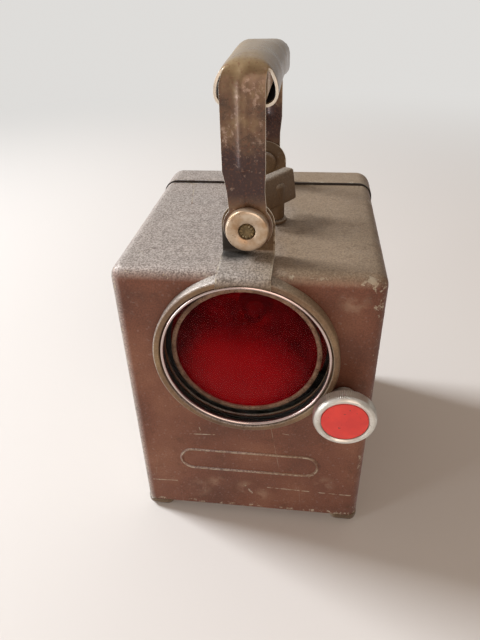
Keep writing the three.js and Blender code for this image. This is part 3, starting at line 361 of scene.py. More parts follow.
def chip_mask(tree, place, parts, low, high, wear, chipped_at):
    """1 on chips, which crowd along the edges of a box and round the chosen places."""
    chips = add(tree, "ShaderNodeTexNoise", {"Vector": place, "Scale": per_mm(3.4), "Detail": 6.0,
                                             "Roughness": 0.7})
    edge = 0.0
    if low is not None:
        near = []
        for axis, a, b in zip("XYZ", low, high):
            middle, half = (a + b) / 2, (b - a) / 2
            off = add(tree, "ShaderNodeMath", {0: parts.outputs[axis], 1: middle},
                      operation="SUBTRACT")
            away = add(tree, "ShaderNodeMath", {0: off.outputs[0]}, operation="ABSOLUTE")
            near.append(add(tree, "ShaderNodeMapRange", {
                "Value": away.outputs[0], "From Min": half - EDGE_REACH * MM,
                "From Max": half - EDGE_FULL * MM}, interpolation_type="SMOOTHSTEP").outputs[0])
        # A point is near an edge where it is near two faces
        pairs = [add(tree, "ShaderNodeMath", {0: near[i], 1: near[j]}, operation="MULTIPLY").outputs[0]
                 for i, j in ((0, 1), (1, 2), (0, 2))]
        edge = greatest(tree, pairs)
    reach = add(tree, "ShaderNodeMath", {0: edge, 1: 0.2 * wear}, operation="MULTIPLY")
    for centre, radius in chipped_at:
        more = add(tree, "ShaderNodeMath", {0: spread(tree, place, centre, radius), 1: 0.24},
                   operation="MULTIPLY")
        reach = add(tree, "ShaderNodeMath", {0: reach.outputs[0], 1: more.outputs[0]},
                    operation="ADD")
    level = add(tree, "ShaderNodeMath", {0: chips.outputs["Fac"], 1: reach.outputs[0]},
                operation="ADD")
    return add(tree, "ShaderNodeMapRange", {"Value": level.outputs[0], "From Min": 0.75,
                                            "From Max": 0.77}).outputs[0]


print("chips crowd within", EDGE_REACH, "mm of an edge")

# %% [markdown]
# ### The whole paint
# The layers go on in the order in which the real ones did: paint, dust, grain, handling marks, then the
# places where it is scratched or chipped to the primer. Painted light goes on with the dust and the
# grain, and painted shade last.

# %% Hammer paint
def hammer_paint(name, low=None, high=None, wear=1.0, tones=("#5a3322", "#6b3f2b", "#7b4f38"),
                 scrapes=(), chipped_at=(), scuffed=(), shaded_at=(), rubbed=None, seam=None):
    """Grained brown-grey paint; low and high are the corners of a box whose edges are worn.

    Scrapes are (start, end, width); the next three hold (centre, radius). Rubbed and seam are (axis,
    from, to), distances from the frame's middle over which the paint is rubbed through or the painted
    shade along a seam begins.
    """
    material, tree, shader, place = new_material(name, Roughness=0.5, Metallic=0.25)
    parts = add(tree, "ShaderNodeSeparateXYZ", {"Vector": place})
    smears = add(tree, "ShaderNodeTexNoise", {"Vector": place, "Scale": per_mm(9), "Detail": 5.0,
                                              "Roughness": 0.65}).outputs["Fac"]
    dusty_and_lit, facing, painted_window_light = paint_under_dust_and_painted_light(tree, place, parts, tones)
    grained, grain = with_grain_and_painted_glints(tree, place, dusty_and_lit, facing, painted_window_light)
    marked = with_handling_marks(tree, place, grained, smears, scuffed)
    scratches = scratch_mask(tree, place, parts, scrapes, rubbed)
    chips = chip_mask(tree, place, parts, low, high, wear, chipped_at)
    bare = add(tree, "ShaderNodeMath", {0: chips, 1: scratches}, operation="MAXIMUM").outputs[0]
    primer = add(tree, "ShaderNodeValToRGB", {"Fac": smears}, stops=[
        (0.40, tint("#b3a994")), (0.55, tint("#9a8a72")), (0.62, tint("#6a4127"))])
    shade = add(tree, "ShaderNodeMath", {0: bare, 1: 0.8}, operation="MULTIPLY")
    worn = add(tree, "ShaderNodeMix", {0: shade.outputs[0], 6: marked, 7: primer.outputs["Color"]},
               data_type="RGBA").outputs[2]
    # Painted shade: nearly black below the pivot cap and along the cover's seam
    painted_shade = [spread(tree, place, *patch) for patch in shaded_at]
    if seam:
        axis, start, end = seam
        away = add(tree, "ShaderNodeMath", {0: parts.outputs[axis]}, operation="ABSOLUTE")
        painted_shade.append(add(tree, "ShaderNodeMapRange", {"Value": away.outputs[0], "From Min": start,
                                                     "From Max": end}).outputs[0])
    if painted_shade:
        worn = under_painted_shade(tree, worn, greatest(tree, painted_shade))
    tree.links.new(worn, shader.inputs["Base Color"])
    gloss = add(tree, "ShaderNodeMapRange", {"Value": smears, "From Min": 0.3, "From Max": 0.7,
                                             "To Min": 0.42, "To Max": 0.62})
    tree.links.new(gloss.outputs[0], shader.inputs["Roughness"])
    # The grain stands about 0.1 mm; a chip's edge goes down by as much
    step = add(tree, "ShaderNodeMath", {0: grain, 1: bare}, operation="SUBTRACT")
    bump = add(tree, "ShaderNodeBump", {"Height": step.outputs[0], "Strength": 0.55,
                                        "Distance": 0.12 * MM})
    tree.links.new(bump.outputs[0], shader.inputs["Normal"])
    return material


print("paint layers ready")

# %% [markdown]
# ### Where this lantern is worn
# The photograph shows scrapes on the front and one on the top, and chips at the right edge and the
# lower left corner. Points are in millimetres from the lantern's corner, so each mark can be put
# where it is.

# %% The paints
case_scrapes = [
    ((-59, 0, 18.2), (-44, 0, 18.5), 0.5), ((11, 0, 18.9), (37, 0, 18.4), 0.55),
    ((41, 0, 18.1), (60, 0, 17.9), 0.5), ((-33, 0, 59.6), (-19, 0, 60.3), 0.45),
    ((-26.6, 0, 60), (-27.4, 0, 65), 0.4), ((19, 0, 64.6), (22.5, 0, 64.1), 0.5),
    ((32, 0, 31.6), (37.5, 0, 32.6), 0.5), ((34.2, 0, 34.6), (35.2, 0, 29.4), 0.45),
    ((-3, 0, 20), (1.5, 0, 13), 0.8), ((-46, 118, 164), (-40, 78, 164), 0.5)]
case_chips = [((58, 2, 159), 6.5), ((-57, 0, 21), 4), ((60, 4, 128), 4), ((61, 1, 148), 4)]
case_scuffs = [((-31, 0, 14), 9), ((-2, 0, 18), 7), ((7, 0, 12), 8), ((-20, 0, 20), 7),
               ((44, 0, 26), 8), ((50, 0, 150), 9)]
case_paint = hammer_paint("stoved_hammer_paint_case", shell_low, shell_high, scrapes=case_scrapes,
                          chipped_at=case_chips, scuffed=case_scuffs,
                          rubbed=("Y", -corner.y + 0.16 * MM, -corner.y + 0.42 * MM))
cover_low, cover_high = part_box("rear_cover")
# Painted shade darkens the cover's front edge along the seam
cover_paint = hammer_paint("stoved_hammer_paint_cover", cover_low, cover_high,
                           seam=("Y", cover_low.y + 0.9 * MM, cover_low.y + 0.3 * MM))
trim_tones = ("#4c3823", "#5f482e", "#745c3c")
trim_paint = hammer_paint("stoved_hammer_paint_trim", wear=0.6, tones=trim_tones)
# Painted shade, nearly black, on the bracket below the pivot cap
below_cap = ((-7, 19, 170), 13)
strap_paint = hammer_paint("stoved_hammer_paint_strap", wear=0.6, tones=trim_tones,
                           shaded_at=[below_cap], rubbed=("X", 11.6 * MM, 12.05 * MM))
bezel_paint = hammer_paint("stoved_hammer_paint_bezel", wear=0.9,
                           tones=("#5d4532", "#745a40", "#8d7656"))
paints = (case_paint, cover_paint, trim_paint, strap_paint, bezel_paint)
print("paints:", [paint.name for paint in paints])

# %% [markdown]
# ## Bench helpers for meshes
# Nearly every piece here is turned, drawn from sheet or pressed. A turned piece is a profile spun
# about an axis; a drawn one is a block with rolled edges and a wall; a pressed one starts as a
# flat blank that is then bent. The helpers below start such meshes, and the last one moves a
# finished mesh from the lantern's corner in millimetres to the frame in metres.

# %% Mesh helpers
def spun(profile, steps=96, upright=False, at=(0, 0, 0)):
    """A profile of (radius, place along the axis) points, spun about the front-to-back axis."""
    bm = bmesh.new()
    points = [bm.verts.new((radius, along, 0)) for radius, along in profile]
    closed = profile[0][0] > 0 or profile[-1][0] > 0
    pairs = list(zip(points, points[1:])) + ([(points[-1], points[0])] if closed else [])
    edges = [bm.edges.new(pair) for pair in pairs]
    bmesh.ops.spin(bm, geom=points + edges, cent=(0, 0, 0), axis=(0, 1, 0), dvec=(0, 0, 0),
                   angle=2 * pi, steps=steps, use_merge=True)
    bmesh.ops.remove_doubles(bm, verts=bm.verts, dist=0.001)
    bmesh.ops.recalc_face_normals(bm, faces=bm.faces)
    if upright:
        bmesh.ops.rotate(bm, cent=(0, 0, 0), matrix=Matrix.Rotation(pi / 2, 3, "X"), verts=bm.verts)
    bmesh.ops.translate(bm, vec=at, verts=bm.verts)
    return bm


def slab(low, high):
    """A block between two corners."""
    bm = bmesh.new()
    bmesh.ops.create_cube(bm, size=1.0)
    low, high = Vector(low), Vector(high)
    bmesh.ops.scale(bm, vec=high - low, verts=bm.verts)
    bmesh.ops.translate(bm, vec=(low + high) / 2, verts=bm.verts)
    return bm


def rolled(bm, edges, radius, segments=8):
    """Rolls chosen edges over to a radius."""
    bmesh.ops.bevel(bm, geom=edges, offset=radius, offset_type="OFFSET", segments=segments,
                    profile=0.5, affect="EDGES", material=-1, clamp_overlap=True)


def hold(name, bm):
    """A mesh object that holds this bmesh, still in millimetres."""
    mesh = bpy.data.meshes.new(name)
    bm.to_mesh(mesh)
    bm.free()
    # Modifiers can only hand out a second finish if there are two slots for it
    for _ in range(2):
        mesh.materials.append(None)
    piece = bpy.data.objects.new(name, mesh)
    bpy.context.scene.collection.objects.link(piece)
    return piece


def modify(piece, kind, **settings):
    """Adds a modifier, sets it and applies it at once."""
    modifier = piece.modifiers.new(kind.lower(), kind)
    for name, value in settings.items():
        setattr(modifier, name, value)
    graph = bpy.context.evaluated_depsgraph_get()
    graph.update()
    made = bpy.data.meshes.new_from_object(piece.evaluated_get(graph))
    piece.modifiers.clear()
    old, piece.data = piece.data, made
    bpy.data.meshes.remove(old)


def cut(piece, *tools):
    """Takes closed shapes out of a piece."""
    for bm in tools:
        tool = hold("tool", bm)
        modify(piece, "BOOLEAN", operation="DIFFERENCE", object=tool, solver="EXACT")
        mesh = tool.data
        bpy.data.objects.remove(tool)
        bpy.data.meshes.remove(mesh)


def settle(piece, materials, body, nodes, sharp=32):
    """Puts a piece in the frame, finishes its shading, attaches it to its body and hides the solids it
    replaces.
    """
    piece.data.transform(to_frame)
    piece.data.materials.clear()
    for material in materials:
        piece.data.materials.append(material)
    piece.data.shade_smooth()
    piece.data.set_sharp_from_angle(angle=radians(sharp))
    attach(piece, body)
    if nodes:
        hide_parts(*nodes)
    print(f"{piece.name}: {len(piece.data.polygons)} faces, rides on {body}")
    return piece


print("mesh helpers ready")

# %% [markdown]
# ## The case
# The real case is one steel box drawn in a press, so its corners are round and its walls one
# thickness, and the sheet is never quite flat. A block gets its front and top edges rolled, is cut
# into a net of squares so that it can be dented a little, and is given a wall inwards. The lens
# opening, the two shaft holes and the window at the back are then cut out of it.

# %% Case shell
NET = 9
BACK_LIP = 7
LENS_HOLE, KNOB_HOLE, SWITCH_HOLE = 41.1, 5.5, 5.3


def sliced(bm, axis, place):
    """Cuts the faces of a mesh along a plane across this axis."""
    plane = Vector([1.0 if i == axis else 0.0 for i in range(3)])
    bmesh.ops.bisect_plane(bm, geom=bm.verts[:] + bm.edges[:] + bm.faces[:],
                           plane_co=plane * place, plane_no=plane)


def drawn_case(grow=0.0, net=None):
    """The outside of the case, grown all round; a net size cuts its faces into squares."""
    half, top = CASE_WIDE / 2 + grow, CASE_TALL + grow
    bm = slab((-half, -grow, -grow), (half, CASE_DEEP, top))

    def drawn(edge):
        (a, b) = (v.co for v in edge.verts)
        front = abs(a.y + grow) < 0.01 and abs(b.y + grow) < 0.01
        above = abs(a.z - top) < 0.01 and abs(b.z - top) < 0.01
        along = abs(a.y - b.y) > 1
        standing = abs(a.z - b.z) > 1
        return (front and (standing or above)) or (above and along)

    rolled(bm, [edge for edge in bm.edges if drawn(edge)], EDGE + grow)
    for axis in range(3) if net else ():
        reach = (CASE_WIDE / 2, CASE_DEEP, CASE_TALL)[axis]
        place = -reach + net if axis == 0 else net
        while place < reach - EDGE - 0.5:
            if abs(place) < reach - EDGE:
                sliced(bm, axis, place)
            place += net
    return bm


def dented(bm, depth, size, seed):
    """Pushes the faces in by a soft random amount, least at the edges of the block."""
    bm.normal_update()
    box = [(min(v.co[i] for v in bm.verts), max(v.co[i] for v in bm.verts)) for i in range(3)]
    for vert in bm.verts:
        inside = sorted(min(vert.co[i] - box[i][0], box[i][1] - vert.co[i]) for i in range(3))[1]
        share = min(1.0, max(0.0, (inside - EDGE) / 14))
        push = noise.noise(vert.co / size + Vector((seed, 0, 0))) * 0.5 + 0.5
        vert.co -= vert.normal * depth * push * share


def cylinder(radius, start, end, at, upright=False, steps=64):
    """A closed round bar, used to cut holes."""
    return spun([(0, start), (radius, start), (radius, end), (0, end)], steps, upright, at)


shell = drawn_case(net=NET)
dented(shell, depth=0.45, size=40, seed=3)
case_shell = hold("case_body", shell)
modify(case_shell, "SOLIDIFY", thickness=SHEET, offset=-1.0, use_even_offset=True)
rim = SHEET + BACK_LIP
window = CASE_WIDE / 2 - SHEET - BACK_LIP
cut(case_shell,
    slab((-window, CASE_DEEP - 8, rim), (window, CASE_DEEP + 5, CASE_TALL - SHEET - BACK_LIP)),
    cylinder(LENS_HOLE, -5, 5, (0, 0, LENS_HIGH), steps=128),
    cylinder(KNOB_HOLE, -5, 5, (KNOB_X, 0, KNOB_HIGH)),
    cylinder(SWITCH_HOLE, -5, 5, (SWITCH_X, SWITCH_Y, CASE_TALL), upright=True))
settle(case_shell, [case_paint], "case", ["case_shell"])

# %% [markdown]
# ## Raised outlines
# The front has a raised outline shaped like a running track, and the back cover a rounded
# rectangle. Both were pressed from behind. Each is a flat face inset twice: the middle line is
# lifted, which gives a low ridge whose foot lies in the sheet. The field inside is left bare.

# %% Raised outline helper and the front panel
def ridge(left, right, low, high, corner_radius, width, proud, y, facing):
    """A raised outline on a face at y; facing is -1 for the front and 1 for the back."""
    bm = slab((left, min(y, y - facing), low), (right, max(y, y - facing), high))
    standing = [e for e in bm.edges if abs(e.verts[0].co.y - e.verts[1].co.y) > 0.5]
    rolled(bm, standing, corner_radius, 10)
    outer = [f for f in bm.faces if len(f.verts) > 8 and f.normal.y * facing > 0.9]
    bmesh.ops.inset_individual(bm, faces=outer, thickness=width / 2, depth=0)
    crest = list(outer[0].verts)
    bmesh.ops.inset_individual(bm, faces=outer, thickness=width / 2, depth=0)
    bmesh.ops.translate(bm, vec=(0, facing * proud, 0), verts=crest)
    bmesh.ops.inset_individual(bm, faces=outer, thickness=0.1, depth=0)
    bmesh.ops.translate(bm, vec=(0, -facing * 0.8, 0), verts=outer[0].verts)
    return bm


def carry(target, bm, name):
    """Adds a bmesh, in millimetres, to a finished piece as part of its surface."""
    bm.transform(to_frame)
    extra = bpy.data.meshes.new(name)
    bm.to_mesh(extra)
    bm.free()
    both = bmesh.new()
    both.from_mesh(target.data)
    both.from_mesh(extra)
    both.to_mesh(target.data)
    both.free()
    bpy.data.meshes.remove(extra)
    target.data.shade_smooth()
    target.data.set_sharp_from_angle(angle=radians(40))


panel = ridge(-40.5, 40.5, 31, 48, corner_radius=8.4, width=1.8, proud=BEAD_PROUD, y=0.0, facing=-1)
carry(case_shell, panel, "panel_ridge")
print("panel outline added:", len(case_shell.data.polygons), "faces")

# %% [markdown]
# ## The rear cover
# The cover is a second, shallower drawing that stands a little proud of the case all round, which
# makes the seam seen across the top. It is made as the case was: a block with rolled edges, its
# front taken off, then given a wall.

# %% Rear cover
half_cover = CASE_WIDE / 2 + COVER_PROUD
tray = slab((-half_cover, COVER_FRONT, -COVER_PROUD), (half_cover, COVER_BACK, CASE_TALL + COVER_PROUD))
tray.faces.ensure_lookup_table()
bmesh.ops.delete(tray, geom=[f for f in tray.faces if f.normal.y < -0.9], context="FACES")
open_edges = [e for e in tray.edges if e.is_boundary]
rolled(tray, [e for e in tray.edges if e not in open_edges], COVER_EDGE, 9)
for axis, places in ((0, range(-6 * NET, 6 * NET + 1, NET)), (2, range(NET, 160, NET))):
    for place in places:
        sliced(tray, axis, place)
dented(tray, depth=0.4, size=45, seed=11)
rear_cover = hold("rear_cover_body", tray)
modify(rear_cover, "SOLIDIFY", thickness=SHEET, offset=-1.0, use_even_offset=True)
settle(rear_cover, [cover_paint], "cover", ["rear_cover"])
inset = 20
border = ridge(-half_cover + inset, half_cover - inset, -COVER_PROUD + inset,
               CASE_TALL + COVER_PROUD - inset, corner_radius=12, width=4, proud=0.8, y=COVER_BACK,
               facing=1)
carry(rear_cover, border, "cover_ridge")
print("cover outline added:", len(rear_cover.data.polygons), "faces")

# %% [markdown]
# ## Feet
# Each foot is a small tab pressed down at a corner and painted with the trim. A block has its
# four upright edges and the edges round its underside rolled.

# %% Feet
FOOT_WIDE, FOOT_TALL, FOOT_ROLL = 16.5, 7.0, 4.6


def foot(name, x, y, out_x, node):
    """A square tab whose outer front corner stands at x, y."""
    x0, x1 = sorted((x, x - out_x * FOOT_WIDE))
    bm = slab((x0, y, -FOOT_TALL), (x1, y + FOOT_WIDE, -0.3))
    low_edges = [e for e in bm.edges if all(v.co.z < -FOOT_TALL + 0.1 for v in e.verts)]
    standing = [e for e in bm.edges if abs(e.verts[0].co.z - e.verts[1].co.z) > 1]
    rolled(bm, low_edges + standing, FOOT_ROLL, 6)
    return settle(hold(name, bm), [trim_paint], "case", [node])


for side, out_x in (("left", -1), ("right", 1)):
    foot(f"front_{side}_tab", out_x * CASE_WIDE / 2, 0, out_x, f"front_{side}_foot")
    foot(f"rear_{side}_tab", out_x * CASE_WIDE / 2, CASE_DEEP - FOOT_WIDE, out_x, f"rear_{side}_foot")

# %% [markdown]
# ## The lens bezel
# A painted steel ring carries the glass. It stands proud of the face and runs back over the
# case's rolled top edge, so the spun ring has the shape of the case taken out of its back. Under
# the front strap the ring is left out, because the strap itself is rolled down to the glass there.

# %% Bezel
bezel_ring = hold("bezel_ring", spun([
    (43.0, EDGE), (BEZEL, EDGE), (BEZEL, -5.7), (45.85, -6.25), (45.3, -6.6), (44.0, -6.6),
    (43.35, -6.45), (43.0, -6.1)], 144, at=(0, 0, LENS_HIGH)))
cut(bezel_ring, drawn_case(grow=0.25), slab((-12.6, -9, LENS_HIGH + 30), (12.6, 9, LENS_HIGH + 60)))
settle(bezel_ring, [bezel_paint], "case", ["lens_bezel"])

# %% [markdown]
# ## Chromium plate
# The ring that holds the glass is chromed steel: nearly a mirror, a little cloudy with fine
# polishing lines and a few brown pits where damp got under the plate.

# %% Chromium plate and the retaining ring
def chromium_plate():
    """Polished plate with cloudy patches and pits."""
    material, tree, shader, place = new_material("chromium_plated_steel", Metallic=1.0)
    haze = add(tree, "ShaderNodeTexNoise", {"Vector": place, "Scale": per_mm(6), "Detail": 4.0})
    pits = add(tree, "ShaderNodeTexNoise", {"Vector": place, "Scale": per_mm(1.3), "Detail": 3.0})
    rough = add(tree, "ShaderNodeMapRange", {"Value": haze.outputs["Fac"], "From Min": 0.3,
                                             "From Max": 0.7, "To Min": 0.1, "To Max": 0.26})
    tree.links.new(rough.outputs[0], shader.inputs["Roughness"])
    pitted = add(tree, "ShaderNodeMapRange", {"Value": pits.outputs["Fac"], "From Min": 0.66,
                                              "From Max": 0.72, "To Max": 0.8})
    mixed = add(tree, "ShaderNodeMix", {0: pitted.outputs[0], 6: tint("#cfb9b1"), 7: tint("#4a3425")},
                data_type="RGBA")
    tree.links.new(mixed.outputs[2], shader.inputs["Base Color"])
    return material


chrome = chromium_plate()
ring_profile = [(40.85, -3.7), (42.65, -3.7), (42.65, -5.0), (42.45, -5.7), (42.0, -6.1),
                (41.5, -6.15), (41.05, -5.85), (40.85, -5.3)]
glass_ring = hold("chrome_ring", spun(ring_profile, 144, at=(0, 0, LENS_HIGH)))
settle(glass_ring, [chrome], "case", ["lens_retaining_ring"], sharp=50)

# %% [markdown]
# ## Clear and ruby glass
# Two bulged glasses lie one behind the other. The front one is plain clear glass that is always
# there; the ruby one swings in and out behind it in a thin frame. Ruby glass is coloured through,
# so light goes in red, strikes the silvered bowl and comes out redder still. Both are closed
# solids, because a single skin would not bend the light.

# %% Glasses
def let_lamps_through(tree, shader, colour):
    """Lamp light crosses the glass tinted, because a bent path rarely finds a lamp by itself."""
    path = add(tree, "ShaderNodeLightPath")
    clear = add(tree, "ShaderNodeBsdfTransparent", {"Color": colour})
    both = add(tree, "ShaderNodeMixShader", {0: path.outputs["Is Shadow Ray"], 1: shader.outputs[0],
                                             2: clear.outputs[0]})
    tree.links.new(both.outputs[0], tree.nodes["Material Output"].inputs["Surface"])


def window_glass():
    """Clear glass with a little dust; a low IOR keeps the pale floor from veiling the red."""
    # The reflections are tinted pinkish grey: a painted reflection colour
    material, tree, shader, place = new_material(
        "float_glass_clear", Roughness=0.02, IOR=1.11, Transmission_Weight=1.0,
        Specular_Tint=tint("#b0a0a0"))
    let_lamps_through(tree, shader, tint("#f4f6f4"))
    film = add(tree, "ShaderNodeTexNoise", {"Vector": place, "Scale": per_mm(12), "Detail": 5.0})
    rough = add(tree, "ShaderNodeMapRange", {"Value": film.outputs["Fac"], "From Min": 0.5,
                                             "From Max": 0.8, "To Min": 0.0, "To Max": 0.03})
    tree.links.new(rough.outputs[0], shader.inputs["Roughness"])
    shader.inputs["Base Color"].default_value = tint("#f4f6f4")
    return material


def ruby_glass():
    """Deep red glass, a little streaky and cloudy, painted brighter below the middle as painted light,
    with faint wipe marks.
    """
    # The reflections are tinted red: a painted reflection colour
    material, tree, shader, place = new_material(
        "ruby_glass", IOR=1.25, Transmission_Weight=0.9, Specular_Tint=tint("#d04040"))
    let_lamps_through(tree, shader, tint("#e0202c"))
    # Below the middle the red is painted brighter, as painted light
    streak = add(tree, "ShaderNodeTexNoise", {"Vector": place, "Scale": per_mm(20), "Detail": 2.0})
    thin_lines_and_painted_glow = add(tree, "ShaderNodeMath", {0: spread(tree, place, (-3, 4, LENS_HIGH - 19), 36), 1: 0.62},
               operation="MULTIPLY")
    faint = add(tree, "ShaderNodeMapRange", {"Value": streak.outputs["Fac"], "From Min": 0.3,
                                             "From Max": 0.7, "To Min": 0.44, "To Max": 0.56})
    share = add(tree, "ShaderNodeMath", {0: faint.outputs[0], 1: thin_lines_and_painted_glow.outputs[0]}, operation="ADD")
    colour = add(tree, "ShaderNodeValToRGB", {"Fac": share.outputs[0]}, stops=[
        (0.45, tint("#74060c")), (0.66, tint("#d80c1c")), (0.84, tint("#ff1828"))])
    tree.links.new(colour.outputs["Color"], shader.inputs["Base Color"])
    wipes = add(tree, "ShaderNodeTexNoise", {"Vector": place, "Scale": per_mm(8), "Detail": 4.0})
    rough = add(tree, "ShaderNodeMapRange", {"Value": wipes.outputs["Fac"], "From Min": 0.45,
                                             "From Max": 0.75, "To Min": 0.0, "To Max": 0.03})
    tree.links.new(rough.outputs[0], shader.inputs["Roughness"])
    return material


def bulged(radius, front, back, bulge, at, steps=12):
    """A round glass of even thickness whose middle stands forward of its edge by the bulge."""
    sag = [bulge * (i / steps) ** 2 for i in range(steps + 1)]
    faces = [(radius * i / steps, front - bulge + sag[i]) for i in range(steps + 1)]
    backs = [(radius * i / steps, back - bulge + sag[i]) for i in range(steps, -1, -1)]
    return spun(faces + backs, 96, at=at)


clear_glass = window_glass()
ruby = ruby_glass()
clear_lens = bulged(42.65, front=-3.2, back=-1.6, bulge=2.0, at=(0, 0, LENS_HIGH))
settle(hold("clear_lens", clear_lens), [clear_glass], "case", ["front_glass"], sharp=50)
FILTER_X, FILTER_HIGH = -0.5, LENS_HIGH - 1.3
ruby_lens = bulged(35.6, front=3.3, back=5.3, bulge=1.5, at=(FILTER_X, 0, FILTER_HIGH))
settle(hold("ruby_lens", ruby_lens), [ruby], "filter", ["filter_glass"], sharp=50)

# %% [markdown]
# ## Old bare metals
# The parts that were never painted are plated, cast or plain steel that has dulled. Each one is
# cloudy, with darker spots where damp sat, and rougher where it is dull. They differ only in
# colour, in gloss and in the size of their clouds and spots, so one function makes them all.

# %% Old metals
def old_metal(name, pale, dull, spot, rough, metallic=1.0, clouds=7.0, spotted=0.6, relief=0.4):
    """Metal that has dulled in clouds of so many millimetres, with darker spots."""
    material, tree, shader, place = new_material(name, Metallic=metallic)
    cloud = add(tree, "ShaderNodeTexNoise", {"Vector": place, "Scale": per_mm(clouds), "Detail": 5.0,
                                             "Roughness": 0.6})
    colour = add(tree, "ShaderNodeValToRGB", {"Fac": cloud.outputs["Fac"]}, stops=[
        (0.36, tint(pale)), (0.64, tint(dull))])
    grain = add(tree, "ShaderNodeTexNoise", {"Vector": place, "Scale": per_mm(clouds / 6),
                                             "Detail": 3.0})
    damp = add(tree, "ShaderNodeMapRange", {"Value": grain.outputs["Fac"], "From Min": spotted,
                                            "From Max": spotted + 0.08, "To Max": 0.85})
    mixed = add(tree, "ShaderNodeMix", {0: damp.outputs[0], 6: colour.outputs["Color"],
                                        7: tint(spot)}, data_type="RGBA")
    tree.links.new(mixed.outputs[2], shader.inputs["Base Color"])
    gloss = add(tree, "ShaderNodeMapRange", {"Value": cloud.outputs["Fac"], "From Min": 0.3,
                                             "From Max": 0.7, "To Min": rough[0], "To Max": rough[1]})
    tree.links.new(gloss.outputs[0], shader.inputs["Roughness"])
    bump = add(tree, "ShaderNodeBump", {"Height": grain.outputs["Fac"], "Strength": relief,
                                        "Distance": 0.05 * MM})
    tree.links.new(bump.outputs[0], shader.inputs["Normal"])
    return material


aged_aluminium = old_metal("cast_aluminium_aged", "#dfdbd2", "#c4bdb1", "#8d8070", (0.28, 0.42), 0.7,
                           spotted=0.66)
cap_metal = old_metal("turned_aluminium_tarnished", "#cdbca6", "#a98a6a", "#5b4330", (0.26, 0.4), 0.6,
                      spotted=0.66)
rivet_metal = old_metal("crimped_rivet_steel", "#7d6a48", "#57482f", "#2e2214", (0.35, 0.5), 0.6,
                        clouds=3.0)
zinc_plate = old_metal("zinc_plated_steel", "#b7b6ae", "#8f8c80", "#6b5a41", (0.3, 0.5))
spring_steel = old_metal("blued_spring_steel", "#77757a", "#58524e", "#4a3022", (0.25, 0.42))
brass = old_metal("rolled_brass_tarnished", "#b58f4d", "#8a6a35", "#4a3820", (0.25, 0.45))
# A black that stands for the shade in the gaps round the lens: painted shade
black_painted_shade = old_metal("black_painted_shade_on_steel", "#15120f", "#1f1a16", "#2a1c14", (0.5, 0.7), 0.0)
frame_steel = old_metal("rusting_steel_matt", "#a07a62", "#7a5644", "#4a2c20", (0.45, 0.65), 0.4,
                        clouds=4.0, spotted=0.56)
silvering = old_metal("silvered_reflector", "#e4e0d8", "#cdc6ba", "#9a8f80", (0.16, 0.24),
                      clouds=16.0, spotted=0.74, relief=0.02)
print("metals:", aged_aluminium.name, zinc_plate.name, brass.name, frame_steel.name)

# %% [markdown]
# ### Painted shade on the filter's frame
# The frame is a ring with an arm that reaches to the knob. Beyond its ring it is made black as painted
# shade, so that the arm doesn't show past the glass. The black starts at a distance from the glass's
# middle, so the same mask that fades a chipped patch can say where it is.

# %% Arm in painted shade
REACH, RING_EDGE, ALL_BLACK = 80, 38.0, 38.8
tree = frame_steel.node_tree
shader = tree.nodes["Principled BSDF"]
place = add(tree, "ShaderNodeTexCoord").outputs["Object"]
nearness = spread(tree, place, (FILTER_X, 4.5, FILTER_HIGH), REACH)
beyond = add(tree, "ShaderNodeMapRange", {"Value": nearness, "From Min": 1 - RING_EDGE / REACH,
                                          "From Max": 1 - ALL_BLACK / REACH})
# Painted shade: the arm beyond the ring is made black
blacked = add(tree, "ShaderNodeMix", {0: beyond.outputs[0], 7: tint("#15120f"),
                                      6: shader.inputs["Base Color"].links[0].from_socket},
              data_type="RGBA")
tree.links.new(blacked.outputs[2], shader.inputs["Base Color"])
print("frame blacked from", RING_EDGE, "mm outwards")

# %% [markdown]
# ## Parts that are not metal
# Rubber, pressed fibre board, printed card and wire covering are dull and grainy. They have no
# clear reflection, so their colour and their grain do the work. One function makes them all, with
# the grain's size in millimetres.

# %% Dull materials
def moulded(name, pale, dark, rough, grain_size, stretch=(1, 1, 1), depth=0.08):
    """A dull material with a grain of this size, stretched along its lie."""
    material, tree, shader, place = new_material(name)
    laid = add(tree, "ShaderNodeMapping", {"Vector": place, "Scale": stretch})
    grain = add(tree, "ShaderNodeTexNoise", {"Vector": laid.outputs[0], "Scale": per_mm(grain_size),
                                             "Detail": 4.0, "Roughness": 0.6})
    colour = add(tree, "ShaderNodeValToRGB", {"Fac": grain.outputs["Fac"]}, stops=[
        (0.35, tint(dark)), (0.65, tint(pale))])
    tree.links.new(colour.outputs["Color"], shader.inputs["Base Color"])
    gloss = add(tree, "ShaderNodeMapRange", {"Value": grain.outputs["Fac"], "From Min": 0.3,
                                             "From Max": 0.7, "To Min": rough[0], "To Max": rough[1]})
    tree.links.new(gloss.outputs[0], shader.inputs["Roughness"])
    bump = add(tree, "ShaderNodeBump", {"Height": grain.outputs["Fac"], "Strength": 0.5,
                                        "Distance": depth * MM})
    tree.links.new(bump.outputs[0], shader.inputs["Normal"])
    return material


black_rubber = moulded("vulcanised_rubber", "#2c2a28", "#1c1b1a", (0.6, 0.8), 0.8)
fibre_board = moulded("pressed_fibre_board", "#6b4a30", "#4a3020", (0.45, 0.6), 1.4, (1, 0.2, 1))
battery_card = moulded("varnished_battery_card", "#3f4f63", "#33404f", (0.35, 0.5), 2.2, (1, 1, 0.3))
wire_cover = moulded("rubber_wire_covering", "#8a2a22", "#6e201a", (0.45, 0.6), 0.6)
phenolic = moulded("moulded_phenolic", "#3a2a22", "#2a1e18", (0.3, 0.42), 1.6)
print("dull materials:", black_rubber.name, fibre_board.name, battery_card.name)

# %% [markdown]
# ## Which solid is which
# The record says which body each solid rides on and which finish it has. Small pieces whose solid
# already has the right shape are kept. Most are copied, their triangles joined into whole faces,
# and their edges broken by a fraction of a millimetre, because a real pressed or turned edge is
# never perfectly sharp and the light catches it. Springs, contacts, wires, gaskets and the bulb
# only get a material.

# %% Dress the small pieces
body_of = {n: body for body, names in frame["record"]["behaviour"]["bodies"].items() for n in names}


